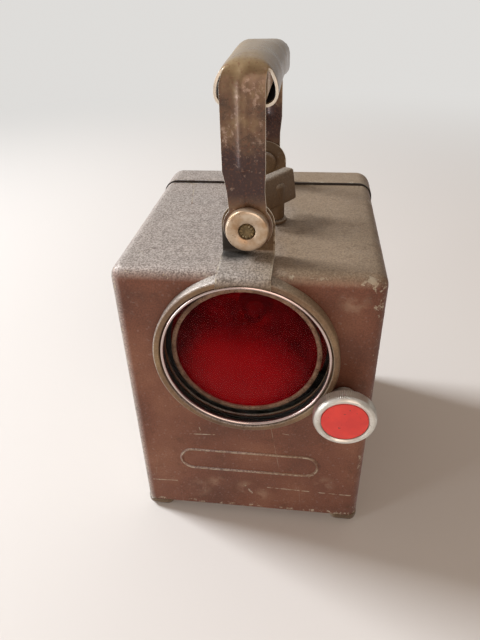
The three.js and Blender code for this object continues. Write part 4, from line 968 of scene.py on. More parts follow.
def dressed(material, broken, *nodes):
    """Copies of these solids with their edges broken by so many millimetres."""
    for node in nodes:
        bm = bmesh.new()
        bm.from_mesh(frame["nodes"][node].data)
        bmesh.ops.remove_doubles(bm, verts=bm.verts, dist=0.002 * MM)
        bmesh.ops.dissolve_limit(bm, angle_limit=radians(0.5), verts=bm.verts, edges=bm.edges)
        sharp = [e for e in bm.edges if len(e.link_faces) == 2 and e.calc_face_angle(0) > radians(40)]
        bmesh.ops.bevel(bm, geom=sharp, offset=broken * MM, offset_type="OFFSET", segments=2,
                        profile=0.5, affect="EDGES", material=-1, clamp_overlap=True)
        bm.transform(to_frame.inverted())
        settle(hold(node + "_dressed", bm), [material], body_of[node], [node], 35)


def finished(material, *nodes):
    """Gives solids whose shape is kept a material."""
    for node in nodes:
        for place in frame["nodes"][node].material_slots:
            place.link = "OBJECT"
            place.material = material


dressed(frame_steel, 0.25, "filter_frame")
dressed(zinc_plate, 0.2, "lower_hinge_case_leaf", "upper_hinge_case_leaf", "lower_hinge_cover_leaf",
        "upper_hinge_cover_leaf", "lower_hinge_pin", "upper_hinge_pin", "latch_lever", "latch_pivot",
        "latch_stud", "filter_shaft", "switch_spindle", "board_bracket", "battery_tray",
        "lamp_bulkhead")
dressed(trim_paint, 0.25, "switch_bush")
dressed(aged_aluminium, 0.25, "filter_bush")
dressed(phenolic, 0.3, "switch_body", "bulb_holder")
dressed(fibre_board, 0.25, "terminal_board")
dressed(battery_card, 0.8, "battery")
finished(spring_steel, "filter_shaft_clip", "filter_detent_spring", "battery_pressure_spring")
finished(brass, "bulb_base", "switch_lug_left", "switch_lug_right", "battery_centre_terminal",
         "battery_corner_terminal", "centre_contact", "corner_contact", "bulb_contact")
finished(black_rubber, "lens_gasket", "cover_gasket")
finished(wire_cover, "lamp_wire", "board_wire")
finished(clear_glass, "bulb_glass")
print("small pieces dressed")

# %% [markdown]
# ## Reflector
# Behind the ruby glass stands a silvered bowl, a paraboloid with the bulb at its focus. It is what
# makes the glass look deep: light that goes in comes back out through the colour. It is turned from a
# profile of the curve and a wall behind it. Its flat rim is made black as painted shade, so the narrow
# gap round the filter stays dark.

# %% Silvered bowl
BOWL_NECK, BOWL_RIM, BOWL_FRONT, BOWL_WALL, FOCUS = 8, 40, 8.3, 1.2, 10
RIM_LIP = 40.9


def bowl(radius):
    """How far back the bowl is at this radius: a paraboloid with this focal length."""
    return BOWL_FRONT + (BOWL_RIM ** 2 - radius ** 2) / (4 * FOCUS)


def from_lens_axis(face):
    """How far a face's middle is from the lens axis, and how far back, in millimetres."""
    middle = to_frame.inverted() @ face.center
    return hypot(middle.x, middle.z - LENS_HIGH), middle.y


radii = range(BOWL_NECK, BOWL_RIM)
profile = ([(43.6, 9.1), (43.6, BOWL_FRONT), (BOWL_RIM, BOWL_FRONT)]
           + [(r, bowl(r)) for r in reversed(radii)]
           + [(r, bowl(r) + BOWL_WALL) for r in radii] + [(RIM_LIP, 9.1)])
reflector = hold("silvered_bowl", spun(profile, 128, at=(0, 0, LENS_HIGH)))
settle(reflector, [silvering, black_painted_shade], "case", ["reflector"], sharp=50)
# The rim and the bowl's back get the black painted shade
for face in reflector.data.polygons:
    radius, back = from_lens_axis(face)
    face.material_index = int(radius > BOWL_RIM + 0.05 or back > bowl(radius) + BOWL_WALL / 3)
# The chromed ring's inner lip is made black too, as painted shade, so that it does not mirror the red
# glass
glass_ring.data.materials.append(black_painted_shade)
for face in glass_ring.data.polygons:
    face.material_index = int(from_lens_axis(face)[0] < RIM_LIP)
print("bowl depth", round(bowl(BOWL_NECK) - BOWL_FRONT, 1), "mm")

# %% [markdown]
# ## Worn edges on painted sheet
# Paint goes first along the cut edge of a sheet. The two brackets and the handle are drawn with
# broken edges, and the Bevel modifier gives just those narrow faces their own material, where pale
# bare steel shows through what is left of the paint.

# %% Worn edge materials
def worn_edge(name, bare, paint, share):
    """A cut edge: bare steel in runs, with paint or rust left between them."""
    material, tree, shader, place = new_material(name, Metallic=0.4)
    runs = add(tree, "ShaderNodeTexNoise", {"Vector": place, "Scale": per_mm(4.5), "Detail": 5.0,
                                            "Roughness": 0.7})
    mask = add(tree, "ShaderNodeMapRange", {"Value": runs.outputs["Fac"], "From Min": 1 - share - 0.06,
                                            "From Max": 1 - share + 0.06})
    colour = add(tree, "ShaderNodeMix", {0: mask.outputs[0], 6: tint(paint), 7: tint(bare)},
                 data_type="RGBA")
    tree.links.new(colour.outputs[2], shader.inputs["Base Color"])
    gloss = add(tree, "ShaderNodeMapRange", {"Value": mask.outputs[0], "To Min": 0.6, "To Max": 0.4})
    tree.links.new(gloss.outputs[0], shader.inputs["Roughness"])
    return material


paint_edge = worn_edge("cut_edge_of_painted_steel", "#ddd2bd", "#7d6853", 0.66)
handle_edge = worn_edge("cut_edge_of_worn_steel", "#cfc5b5", "#6a5140", 0.8)
print("edges:", paint_edge.name, handle_edge.name)

# %% [markdown]
# ## Handle brackets
# Each bracket is one strip of sheet, folded in a press. It starts as a flat blank: a grid whose
# rows are the places along the strip. Each row is then bent to its place on a folded path, and
# rounded off at the ear's top. A Solidify modifier gives the sheet its thickness.

# %% Bent blanks
def blank(columns, rows, bent):
    """A flat grid whose points are bent to where bent(column, row) says, by their indices."""
    bm = bmesh.new()
    bmesh.ops.create_grid(bm, x_segments=columns - 1, y_segments=rows - 1, size=1.0)
    marks = {}
    for vert in bm.verts:
        column = round((vert.co.x + 1) / 2 * (columns - 1))
        row = round((vert.co.y + 1) / 2 * (rows - 1))
        marks[vert] = (column, row)
    assert len(marks) == columns * rows, (len(marks), columns * rows)
    for vert, (column, row) in marks.items():
        vert.co = bent(column, row)
    return bm, marks


def fold(centre_y, centre_z, radius, start, end, steps=6):
    """Points (y, z) round a fold, between two angles in degrees."""
    turns = [radians(start + (end - start) * i / steps) for i in range(steps + 1)]
    return [(centre_y + radius * cos(t), centre_z + radius * sin(t)) for t in turns]


def pressed(name, bm, thickness):
    """A bent blank given its thickness, with broken cut edges that get the second finish."""
    bmesh.ops.recalc_face_normals(bm, faces=bm.faces)
    piece = hold(name, bm)
    modify(piece, "SOLIDIFY", thickness=thickness, offset=0.0, use_even_offset=True,
           material_offset_rim=1)
    modify(piece, "BEVEL", width=0.35, segments=2, limit_method="ANGLE", angle_limit=radians(60),
           material=1, profile=0.5)
    return piece


print("a fold of 2 mm starts and ends at", fold(0, 0, 2, -90, 0)[::6])

# %% [markdown]
# ### The two brackets
# The front bracket is a strap that starts at the lens opening, rolls over the case's front edge and
# runs back to its ear. The rear one is shorter and starts flat. One function bends both.

# %% Brackets
EAR = 12.5
OPENING = 43.2
STRAP_HIGH, STRAP_THICK = 165.0, 1.0
ear_turns = [radians(a) for a in range(0, 90, 6)]


def bracket(name, path, ear_y, node, roll=None):
    """A strip along a path of (y, z) points that ends in a rounded ear about the pivot.

    A roll (y, z, radius, steps) starts the strip at the lens, rolled over the case's front edge.
    """
    low = path[-1][1]
    rise = [low + (PIVOT_HIGH - low) * i / 4 for i in range(1, 4)]
    rows = ([(y, z, EAR) for y, z in path] + [(ear_y, z, EAR) for z in rise]
            + [(ear_y, PIVOT_HIGH + EAR * sin(t), EAR * cos(t)) for t in ear_turns])

    def bent(column, row):
        y, z, half = rows[row]
        x = half * (column / 12 - 1)
        if roll and row < roll[3]:
            # The strip starts on the glass opening's circle, so its first rows are not straight
            middle_y, middle_z, radius, steps = roll
            start = asin((LENS_HIGH + sqrt(OPENING ** 2 - x ** 2) - middle_z) / radius)
            turn = start + (pi / 2 - start) * row / steps
            y, z = middle_y - radius * cos(turn), middle_z + radius * sin(turn)
        return x, y, z

    piece = pressed(name, blank(25, len(rows), bent)[0], STRAP_THICK)
    # The shading step below resets which face has which finish, so that is kept and put back
    edges = [face.material_index for face in piece.data.polygons]
    settle(piece, [strap_paint, paint_edge], "case", [node], sharp=40)
    piece.data.polygons.foreach_set("material_index", edges)
    return piece


lens_roll = (-1.1, 159.0, 6.0, 8)
front_path = ([(-1.1, STRAP_HIGH)] * lens_roll[3] + [(y, STRAP_HIGH) for y in (-1.1, 2, 6, 12)]
              + fold(17.7, 167.0, 2, -90, 0))
rear_path = [(y, STRAP_HIGH) for y in (103, 108)] + fold(113.8, 167.0, 2, -90, 0)
bracket("front_strap", front_path, 19.7, "front_handle_bracket", roll=lens_roll)
bracket("rear_strap", rear_path, 115.8, "rear_handle_bracket")

# %% [markdown]
# ## Pivots
# A round cap sits outside each leg and a rivet goes through cap, leg and ear. The rivet's end was
# crimped over with a star punch, so its rim is folded like a pie's. Both are turned from profiles,
# and the folds are made by pushing every other point of the rim in.

# %% Pivot caps and rivets
FOLD_TURN, FOLD_BACK, FOLD_IN = 15, 0.45, 0.93
cap_profile = [(3.9, 16.9), (9.7, 16.9), (10.0, 16.6), (10.0, 13.2), (9.85, 12.6), (9.3, 12.2),
               (8.5, 12.1), (4.2, 12.1), (3.9, 12.4)]
rivet_profile = [(0, 12.35), (1.5, 12.2), (2.6, 11.8), (3.2, 11.8), (3.55, 12.2), (3.6, 12.8),
                 (3.6, 20.8), (6.3, 20.8), (6.5, 21.1), (6.45, 21.8), (5.6, 22.3), (4.2, 22.4),
                 (0, 22.4)]
for end, facing, middle in (("front", 1, 0.0), ("rear", -1, 135.5)):
    cap = spun([(r, middle + facing * y) for r, y in cap_profile], 72, at=(0, 0, PIVOT_HIGH))
    settle(hold(f"{end}_cap", cap), [cap_metal], "case", [f"{end}_pivot_cap"], 50)
    rivet = spun([(r, middle + facing * y) for r, y in rivet_profile], 24)
    for vert in rivet.verts:
        radius, along = hypot(vert.co.x, vert.co.z), facing * (vert.co.y - middle)
        fold_number = round(degrees(atan2(vert.co.z, vert.co.x)) / FOLD_TURN)
        if 2.5 < radius < 3.58 and along < 12.5 and fold_number % 2:
            vert.co.y += facing * FOLD_BACK
            vert.co.x, vert.co.z = vert.co.x * FOLD_IN, vert.co.z * FOLD_IN
    bmesh.ops.translate(rivet, vec=(0, 0, PIVOT_HIGH), verts=rivet.verts)
    finish = rivet_metal if end == "front" else trim_paint
    settle(hold(f"{end}_rivet", rivet), [finish], "case", [f"{end}_pivot_rivet"], 28)

# %% [markdown]
# ## The bail handle's finish
# The handle was dipped in brown paint that has mostly worn away. Where the hand holds it the
# steel is smooth and dark, the legs are rusty with a maroon stain near the pivots, and pinkish
# flecks of old primer are left. The stain and the flecks are masks at chosen places.

# %% Stain and flecks
STAIN_HIGH, STAIN_FULL, STAIN_GONE = 28, 8, 14


def stain_mask(tree, place, patches):
    """1 across each leg from about 10 to 38 mm above its pivot, with soft uneven ends."""
    parts = add(tree, "ShaderNodeSeparateXYZ", {"Vector": place})
    edge = add(tree, "ShaderNodeMath", {0: patches, 1: 9 * MM}, operation="MULTIPLY")
    high = add(tree, "ShaderNodeMath", {0: parts.outputs["Z"], 1: edge.outputs[0]}, operation="ADD")
    middle = corner.z + (PIVOT_HIGH + STAIN_HIGH) * MM
    off = add(tree, "ShaderNodeMath", {0: high.outputs[0], 1: middle}, operation="SUBTRACT")
    away = add(tree, "ShaderNodeMath", {0: off.outputs[0]}, operation="ABSOLUTE")
    return add(tree, "ShaderNodeMapRange", {"Value": away.outputs[0], "From Min": STAIN_FULL * MM,
                                            "From Max": STAIN_GONE * MM, "To Min": 0.93,
                                            "To Max": 0.0}).outputs[0]


def fleck_mask(tree, place):
    """1 on flecks of old primer, thickest on the upper half of the front leg."""
    flecks = add(tree, "ShaderNodeTexNoise", {"Vector": place, "Scale": per_mm(2.6), "Detail": 4.0,
                                              "Roughness": 0.7})
    spots = (((-8, 18, 222), 11), ((6, 18, 218), 9), ((5, 18, 236), 12))
    left = greatest(tree, [spread(tree, place, *spot) for spot in spots])
    more = add(tree, "ShaderNodeMath", {0: left, 1: 0.13}, operation="MULTIPLY")
    thick = add(tree, "ShaderNodeMath", {0: flecks.outputs["Fac"], 1: more.outputs[0]},
                operation="ADD")
    return add(tree, "ShaderNodeMapRange", {"Value": thick.outputs[0], "From Min": 0.61,
                                            "From Max": 0.72, "To Max": 0.7}).outputs[0]


print("stain centred", STAIN_HIGH, "mm above the pivots, less its uneven edge")

# %% [markdown]
# ### The handle's layers
# The layers go on in this order: brown paint, a lighter tan on faces that point up, the maroon stain,
# rust, flecks, and the painted shade below the front cap.

# %% Handle finish
def handled_steel():
    """Worn brown paint, lighter on faces that point up, with stain, rust, flecks and painted shade
    below the front cap.
    """
    material, tree, shader, place = new_material("brushed_paint_on_rusting_steel", Metallic=0.35,
                                                 Coat_Weight=0.35, Coat_Roughness=0.25)
    patches = add(tree, "ShaderNodeTexNoise", {"Vector": place, "Scale": per_mm(11), "Detail": 6.0,
                                               "Roughness": 0.65})
    grain = add(tree, "ShaderNodeTexNoise", {"Vector": place, "Scale": per_mm(1.2), "Detail": 3.0})
    paint = add(tree, "ShaderNodeValToRGB", {"Fac": patches.outputs["Fac"]}, stops=[
        (0.32, tint("#463020")), (0.47, tint("#664a33")), (0.60, tint("#7b6244")),
        (0.72, tint("#8f7a5c"))])
    # Faces that point up are a lighter tan
    normal = add(tree, "ShaderNodeTexCoord").outputs["Normal"]
    up = add(tree, "ShaderNodeSeparateXYZ", {"Vector": normal})
    upward_tan = add(tree, "ShaderNodeMapRange", {"Value": up.outputs["Z"], "From Min": 0.1,
                                             "From Max": 0.8, "To Max": 0.65})
    upward_tanned = add(tree, "ShaderNodeMix", {0: upward_tan.outputs[0], 6: paint.outputs["Color"],
                                         7: tint("#a0885f")}, data_type="RGBA")
    stained = add(tree, "ShaderNodeMix", {0: stain_mask(tree, place, patches.outputs["Fac"]),
                                          6: upward_tanned.outputs[2], 7: tint("#331712")},
                  data_type="RGBA")
    rust = add(tree, "ShaderNodeMapRange", {"Value": grain.outputs["Fac"], "From Min": 0.54,
                                            "From Max": 0.66, "To Max": 0.5})
    rusty = add(tree, "ShaderNodeMix", {0: rust.outputs[0], 6: stained.outputs[2],
                                        7: tint("#6d4028")}, data_type="RGBA")
    flecked = add(tree, "ShaderNodeMix", {0: fleck_mask(tree, place), 6: rusty.outputs[2],
                                          7: tint("#a58c7a")}, data_type="RGBA")
    # Painted shade: nearly black below the front cap
    shaded_below_cap = under_painted_shade(tree, flecked.outputs[2], spread(tree, place, *below_cap))
    tree.links.new(shaded_below_cap, shader.inputs["Base Color"])
    gloss = add(tree, "ShaderNodeMapRange", {"Value": patches.outputs["Fac"], "From Min": 0.35,
                                             "From Max": 0.65, "To Min": 0.24, "To Max": 0.42})
    tree.links.new(gloss.outputs[0], shader.inputs["Roughness"])
    bump = add(tree, "ShaderNodeBump", {"Height": grain.outputs["Fac"], "Strength": 0.5,
                                        "Distance": 0.12 * MM})
    tree.links.new(bump.outputs[0], shader.inputs["Normal"])
    return material


handle_finish = handled_steel()
# Near black for the grip's inner side: painted shade inside the curl
grip_inside_painted_shade = old_metal("grip_inside_painted_shade_dark", "#2e211a", "#1f1612", "#120c09", (0.6, 0.8), 0.2)
print("handle finishes:", handle_finish.name, grip_inside_painted_shade.name)

# %% [markdown]
# ## The bail handle
# The handle is one pressing. Its middle strip runs up the front leg, over the top and down the
# rear leg. Between the legs the sheet is wider, and its two sides are pressed down and curled in
# to make a grip that does not cut the hand. A rib down the middle of each leg stiffens it.
# It is bent from one flat blank: every column of the blank has a place round the grip's section,
# and every row a place along the handle.

# %% Section and path of the handle
STRIP, HALF_BLANK = 9.79, 27.4
half_columns = [0, 0.9, 1.8, 3.0, 5.0, 7.0, 8.6, STRIP, 11.4, 13.2, 15.2, 17.2, 19.4, 20.0, 21.3, 22.8,
                24.4, 26.0, HALF_BLANK]
columns = [-u for u in reversed(half_columns[1:])] + half_columns
BEND, EYE, NECK, LEG, LEAN = 9.25, 11.6, 8.6, 9.6, -1.4
# The depth of the bend's centre and of the leg, and the height at which the leg ends
FRONT_END, REAR_END = (27.2, 17.95, 240.35), (108.3, 117.55, 237.0)
GRIP_LONG = 81.1
CROWN_HIGH, CROWN_FALL, CROWN_MIDDLE, CROWN_REACH = 71.25, 5.5, 50.56, 67.74


def section(u, y=0.0):
    """Sideways place and drop of a point u millimetres round the grip's section at y."""
    # The pressing is rounder in front and squarer towards the rear leg
    back = min(1.0, max(0.0, (y - 45) / 60))
    shoulder, curl, half, tall = 11.75 - 5.5 * back * back * (3 - 2 * back), 4.75, 12.75, 17.0
    flat, side = half - shoulder, tall - shoulder - curl
    whole = flat + (shoulder + curl) * pi / 2 + side
    far = abs(u)
    if far > STRIP:
        far = STRIP + (far - STRIP) * (whole - STRIP) / (HALF_BLANK - STRIP)
    if far < flat:
        return u, 0.0
    turn = (far - flat) / shoulder
    if turn < pi / 2:
        x, drop = flat + shoulder * sin(turn), shoulder * (1 - cos(turn))
    elif far < flat + side + shoulder * pi / 2:
        x, drop = half, far - flat - shoulder * pi / 2 + shoulder
    else:
        turn = (far - flat - side - shoulder * pi / 2) / curl
        x, drop = half - curl * (1 - cos(turn)), shoulder + side + curl * sin(turn)
    return (x if u > 0 else -x), drop


def crown(y):
    """Height of the grip's middle line."""
    return PIVOT_HIGH + CROWN_HIGH - CROWN_FALL * ((y - CROWN_MIDDLE) / CROWN_REACH) ** 2


def leg_rows(top, lean):
    """(height, half width, lean) of each row up a leg, from under the eye to the bend."""
    eye = [(PIVOT_HIGH + EYE * sin(radians(a)), EYE * cos(radians(a)), 0.0)
           for a in (-80, -68, -56, -44, -32, -20, -8, 4, 16, 28, 42.2)]
    neck, full = PIVOT_HIGH + 17, PIVOT_HIGH + 26
    rows = [(neck, NECK, lean / 2), (full, LEG, lean), (full + 1.2, LEG, lean)]
    return eye + rows + [(full + 2.4 + (top - full - 2.4) * i / 7, LEG, lean) for i in range(8)]


MERGE_TURN = 36.3
bend_turns = [0, 12, 24, MERGE_TURN, 48, 60, 72, 90]
front_leg, rear_leg = leg_rows(FRONT_END[2], LEAN), leg_rows(REAR_END[2], 0.0)
print("grip section ends at", [round(v, 2) for v in section(HALF_BLANK)], "mm from its crown")

# %% [markdown]
# A row of a leg stands upright, a row of the bend turns with it, and a row of the grip lies along
# the top. Where the leg's strip runs into the grip, its outer columns have to come down to the
# section's drop, so the lower of the two heights is taken, rounded where they cross.

# %% Where each point of the blank goes
RIB = {0: 1.2, 0.9: 1.1, 1.8: 0.8, 3.0: 0.3}
RIB_START = 27


def lower_of(a, b, round_off=1.6):
    """The smaller of two heights, rounded where they cross."""
    share = max(round_off - abs(a - b), 0) / round_off
    return min(a, b) - share * share * round_off / 4


def placed(u, kind, spot, facing):
    """The place of column u in a row of a leg, a bend or the grip."""
    middle, straight, top = FRONT_END if facing < 0 else REAR_END
    x, drop = section(u, spot if kind == "grip" else middle)
    ribbed = RIB.get(abs(u), 0.0)
    if kind == "leg":
        z, half, lean = spot
        rib = ribbed if z > PIVOT_HIGH + RIB_START else 0.0
        return u * half / STRIP + lean, straight + facing * rib, z
    if kind == "bend":
        turn = radians(spot)
        share = min(1.0, spot / MERGE_TURN)
        lean = LEAN if facing < 0 else 0.0
        rib = ribbed * max(0.0, 1 - spot / 60)
        flat = u * LEG / STRIP + lean
        y = middle + facing * (BEND + rib) * cos(turn)
        z = top + (BEND + rib) * sin(turn)
        if abs(u) > STRIP:
            rise = BEND - drop
            start = middle + facing * sqrt(BEND ** 2 - rise ** 2) if rise > 0 else straight
            y = start if spot <= MERGE_TURN else y
            return x, y, crown(y) - drop
        return flat + (x - flat) * share, y, lower_of(z, crown(y) - drop) if spot > 0 else z
    return x, spot, crown(spot) - drop


print("rib", RIB[0], "mm high, from", RIB_START, "mm above the pivots")

# %% [markdown]
# The blank's rows run up the front leg, round its bend, along the grip, round the other bend and
# down the rear leg. The corners beside the legs are cut away, the sheet gets its thickness, and
# the two eyes and a short groove below the front leg's rib are cut.

# %% Bend the handle's blank
EYE_HOLE, HANDLE_THICK = 3.9, 1.2
arch = [FRONT_END[0] + GRIP_LONG * i / 30 for i in range(1, 30)]
rows = ([("leg", spot, -1) for spot in front_leg[:-1]] + [("bend", a, -1) for a in bend_turns]
        + [("grip", y, 0) for y in arch] + [("bend", a, 1) for a in reversed(bend_turns)]
        + [("leg", spot, 1) for spot in reversed(rear_leg[:-1])])
first = len(front_leg) - 1 + bend_turns.index(MERGE_TURN)
last = len(rows) - len(rear_leg) - bend_turns.index(MERGE_TURN)
bm, marks = blank(len(columns), len(rows), lambda column, row: placed(columns[column], *rows[row]))
outside = []
for face in bm.faces:
    across = [abs(columns[marks[v][0]]) for v in face.verts]
    along = [marks[v][1] for v in face.verts]
    if min(across) >= STRIP and (max(along) <= first or min(along) >= last):
        outside.append(face)
bmesh.ops.delete(bm, geom=outside, context="FACES")
bail = pressed("bail", bm, HANDLE_THICK)
cut(bail,
    cylinder(EYE_HOLE, 12, 24, (0, 0, PIVOT_HIGH)),
    cylinder(EYE_HOLE, 112, 122, (0, 0, PIVOT_HIGH)),
    slab((-1.3, 15, 186), (1.3, 17.7, 194.5)))
# The grip's inner side is coloured nearly black, as painted shade inside the curl
edges = [face.material_index for face in bail.data.polygons]
for number, face in enumerate(bail.data.polygons):
    away = face.center - Vector((0, face.center.y, crown(face.center.y) - 9))
    if not edges[number] and 20 < face.center.y < 115 and face.normal.dot(away) < 0:
        edges[number] = 2
settle(bail, [handle_finish, handle_edge, grip_inside_painted_shade], "handle", ["bail_handle"],
       sharp=45)
bail.data.polygons.foreach_set("material_index", edges)

# %% [markdown]
# ## The filter knob
# The knob is an aluminium casting turned at the front, with a knurled grip. Straight knurling is
# rolled in by a toothed wheel, so the rim has fine even grooves: every other point of the spun
# rim is moved in by under half a millimetre. The bright chamfer round the red disc was turned.

# %% Knurled knob
GRIP_RADIUS, KNURL_TURN, KNURL_IN = 15.4, 1.875, 0.972
knob_profile = [(0, -1.6), (6.8, -1.6), (7, -1.8), (7, -5.0), (7.6, -6.2), (9.2, -7.3), (10.2, -8.6),
                (10.6, -10.2), (11.6, -11.4), (14.4, -12.2), (GRIP_RADIUS, -12.9), (GRIP_RADIUS, -17.6),
                (14.9, -18.4), (14.1, -19.3), (13.7, -19.5), (12.7, -19.5), (11.85, -18.9),
                (11.85, -17.75), (0, -17.75)]
knob = spun(knob_profile, 192)
for vert in knob.verts:
    radius = hypot(vert.co.x, vert.co.z)
    groove = round(degrees(atan2(vert.co.z, vert.co.x)) / KNURL_TURN)
    if radius > GRIP_RADIUS - 0.1 and groove % 2:
        vert.co.x, vert.co.z = vert.co.x * KNURL_IN, vert.co.z * KNURL_IN
bmesh.ops.translate(knob, vec=(KNOB_X, 0, KNOB_HIGH), verts=knob.verts)
settle(hold("knurled_knob", knob), [aged_aluminium], "filter", ["filter_knob"], sharp=24)

# %% [markdown]
# ### The red disc
# The knob's face was filled with brushed red enamel, which has gone chalky and lost small chips.
# A low turned disc stands for it, slightly domed as brushed paint is.

# %% Red disc
def red_enamel():
    """Brushed red enamel, chalky with age, with small chips."""
    material, tree, shader, place = new_material("brushed_enamel_red", Coat_Weight=0.15)
    faded = add(tree, "ShaderNodeTexNoise", {"Vector": place, "Scale": per_mm(7), "Detail": 4.0})
    colour = add(tree, "ShaderNodeValToRGB", {"Fac": faded.outputs["Fac"]}, stops=[
        (0.35, tint("#c82a22")), (0.65, tint("#d8382c"))])
    spots = add(tree, "ShaderNodeTexNoise", {"Vector": place, "Scale": per_mm(1.8), "Detail": 4.0})
    chipped = add(tree, "ShaderNodeMapRange", {"Value": spots.outputs["Fac"], "From Min": 0.69,
                                               "From Max": 0.71})
    mixed = add(tree, "ShaderNodeMix", {0: chipped.outputs[0], 6: colour.outputs["Color"],
                                        7: tint("#5a2a22")}, data_type="RGBA")
    tree.links.new(mixed.outputs[2], shader.inputs["Base Color"])
    gloss = add(tree, "ShaderNodeMapRange", {"Value": faded.outputs["Fac"], "From Min": 0.3,
                                             "From Max": 0.7, "To Min": 0.4, "To Max": 0.6})
    tree.links.new(gloss.outputs[0], shader.inputs["Roughness"])
    bump = add(tree, "ShaderNodeBump", {"Height": spots.outputs["Fac"], "Strength": 0.3,
                                        "Distance": 0.06 * MM})
    tree.links.new(bump.outputs[0], shader.inputs["Normal"])
    return material


enamel = red_enamel()
disc = spun([(0, -19.1), (6, -19.08), (10.9, -19.0), (11.35, -18.85), (11.5, -18.5), (11.5, -17.9),
             (0, -17.9)], 96, at=(KNOB_X, 0, KNOB_HIGH))
settle(hold("red_disc", disc), [enamel], "filter", ["filter_knob_disc"], sharp=40)

# %% [markdown]
# ## The switch knob
# The switch is turned by a wedge-shaped bar, painted with the trim. A block's top is narrowed,
# its edges are rolled, and it is joined to a turned hub. The whole is then turned to where the
# photograph shows it.

# %% Switch knob
SWITCH_TURN = 56
bar = slab((-13, -5.5, 174), (13, 5.5, 190))
bmesh.ops.scale(bar, vec=(1, 3 / 5.5, 1), verts=[v for v in bar.verts if v.co.z > 189])
rolled(bar, bar.edges[:], 1.3, 4)
hub = spun([(0, 166.3), (5.0, 166.3), (5.4, 166.7), (5.4, 183.2), (5.1, 184.4), (4.3, 185.2),
            (3.0, 185.5), (0, 185.6)], 64, upright=True)
whole = bmesh.new()
for part in (bar, hub):
    mesh = bpy.data.meshes.new("part")
    part.to_mesh(mesh)
    part.free()
    whole.from_mesh(mesh)
    bpy.data.meshes.remove(mesh)
bmesh.ops.rotate(whole, cent=(0, 0, 0), matrix=Matrix.Rotation(radians(SWITCH_TURN), 3, "Z"),
                 verts=whole.verts)
bmesh.ops.translate(whole, vec=(SWITCH_X, SWITCH_Y, 0), verts=whole.verts)
settle(hold("switch_paddle", whole), [trim_paint], "switch", ["switch_knob"], sharp=40)

# %% [markdown]
# ## Floor
# A pale floor keeps attention on the lantern. Far away it takes the world's colour, so no horizon
# shows. Glass and metal see it pale, even where the lantern shades it.

# %% Floor
floor_bm = bmesh.new()
bmesh.ops.create_grid(floor_bm, x_segments=1, y_segments=1, size=6.0)
floor = hold("pale_floor", floor_bm)
floor_paint, tree, shader, place = new_material("pale_floor_paint", Roughness=0.8)
shader.inputs["Base Color"].default_value = tint("#cfcbc5")
BACKDROP, PALE = tint("#efedea"), 0.85
far = add(tree, "ShaderNodeVectorMath", {0: place}, operation="LENGTH")
blend = add(tree, "ShaderNodeMapRange", {"Value": far.outputs["Value"], "From Min": 0.3,
                                         "From Max": 1.3}, interpolation_type="SMOOTHSTEP")
path = add(tree, "ShaderNodeLightPath")
looked_at = add(tree, "ShaderNodeMath", {0: blend.outputs[0], 1: path.outputs["Is Camera Ray"]},
                operation="MULTIPLY")
mirrored = add(tree, "ShaderNodeMath", {0: path.outputs["Is Glossy Ray"],
                                        1: path.outputs["Is Transmission Ray"]}, operation="MAXIMUM")
half_seen = add(tree, "ShaderNodeMath", {0: mirrored.outputs[0], 1: 0.6}, operation="MULTIPLY")
shown = add(tree, "ShaderNodeMath", {0: looked_at.outputs[0], 1: half_seen.outputs[0]},
            operation="MAXIMUM")
glow = add(tree, "ShaderNodeEmission", {"Color": BACKDROP, "Strength": PALE})
mixed = add(tree, "ShaderNodeMixShader", {0: shown.outputs[0], 1: shader.outputs[0],
                                          2: glow.outputs[0]})
tree.links.new(mixed.outputs[0], tree.nodes["Material Output"].inputs["Surface"])
floor.data.materials[0] = floor_paint
print("floor staged")

# %% [markdown]
# ## World
# The world is pale for the camera, and darker and warmer for surfaces. Reflections see it
# brightest towards the window, so that metal has a light side and a dark side.

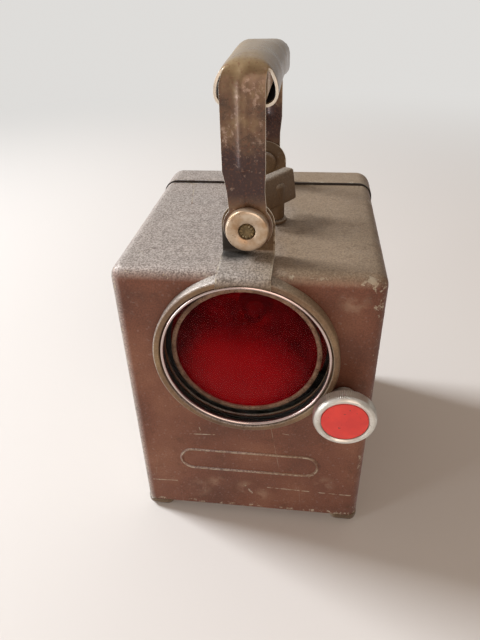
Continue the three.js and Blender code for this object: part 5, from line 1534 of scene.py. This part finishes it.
# %% World
world = bpy.data.worlds.new("pale_world")
bpy.context.scene.world = world
world.use_nodes = True
tree = world.node_tree
path = add(tree, "ShaderNodeLightPath")
way = add(tree, "ShaderNodeTexCoord").outputs["Generated"]
window = add(tree, "ShaderNodeVectorMath", {0: way, 1: tuple(Vector((-0.85, 0.3, 0.4)).normalized())},
             operation="DOT_PRODUCT")
mirrored = add(tree, "ShaderNodeMapRange", {"Value": window.outputs["Value"], "From Min": -0.2,
                                            "From Max": 0.8, "To Min": 0.26, "To Max": 0.8})
seen = add(tree, "ShaderNodeMath", {0: path.outputs["Is Glossy Ray"],
                                    1: path.outputs["Is Transmission Ray"]}, operation="MAXIMUM")
for_surfaces = add(tree, "ShaderNodeMix", {0: seen.outputs[0], 2: 0.42, 3: mirrored.outputs[0]})
strength = add(tree, "ShaderNodeMix", {0: path.outputs["Is Camera Ray"], 2: for_surfaces.outputs[0],
                                       3: PALE})
colour = add(tree, "ShaderNodeMix", {0: path.outputs["Is Diffuse Ray"], 6: BACKDROP,
                                     7: tint("#f2dccb")}, data_type="RGBA")
backdrop = tree.nodes["Background"]
tree.links.new(colour.outputs[2], backdrop.inputs["Color"])
tree.links.new(strength.outputs[0], backdrop.inputs["Strength"])
print("world set")

# %% [markdown]
# ## Lamps
# One soft lamp stands to the left, a little behind, as the window does in the photograph. It is
# taller than it is wide, so the handle and the switch knob throw bands of shade across the top.
# Two weak ones in front fill the shadows.

# %% Lamps
def soft_lamp(name, place, wide, tall, power, colour):
    """A rectangular lamp that points at the middle of the lantern."""
    data = bpy.data.lights.new(name, "AREA")
    data.shape, data.size, data.size_y = "RECTANGLE", wide, tall
    data.energy, data.color = power, tint(colour)[:3]
    lamp = bpy.data.objects.new(name, data)
    aim = Vector((0, 0, 0.11)) - Vector(place)
    lamp.matrix_world = Matrix.Translation(place) @ aim.to_track_quat("-Z", "Y").to_matrix().to_4x4()
    # Its light already crosses the glasses by shadow rays, so bent rays would count it twice
    lamp.visible_transmission = False
    bpy.context.scene.collection.objects.link(lamp)


soft_lamp("window_light", (-1.6, 0.42, 1.36), 0.52, 1.15, 66.0, "#f4f8ff")
soft_lamp("front_fill", (0.25, -1.1, 0.5), 0.8, 0.8, 4.5, "#ffeadc")
soft_lamp("left_strip", (-0.55, -0.42, 0.14), 0.12, 0.4, 1.5, "#f4f8ff")
bpy.context.scene.view_settings.view_transform = "Standard"
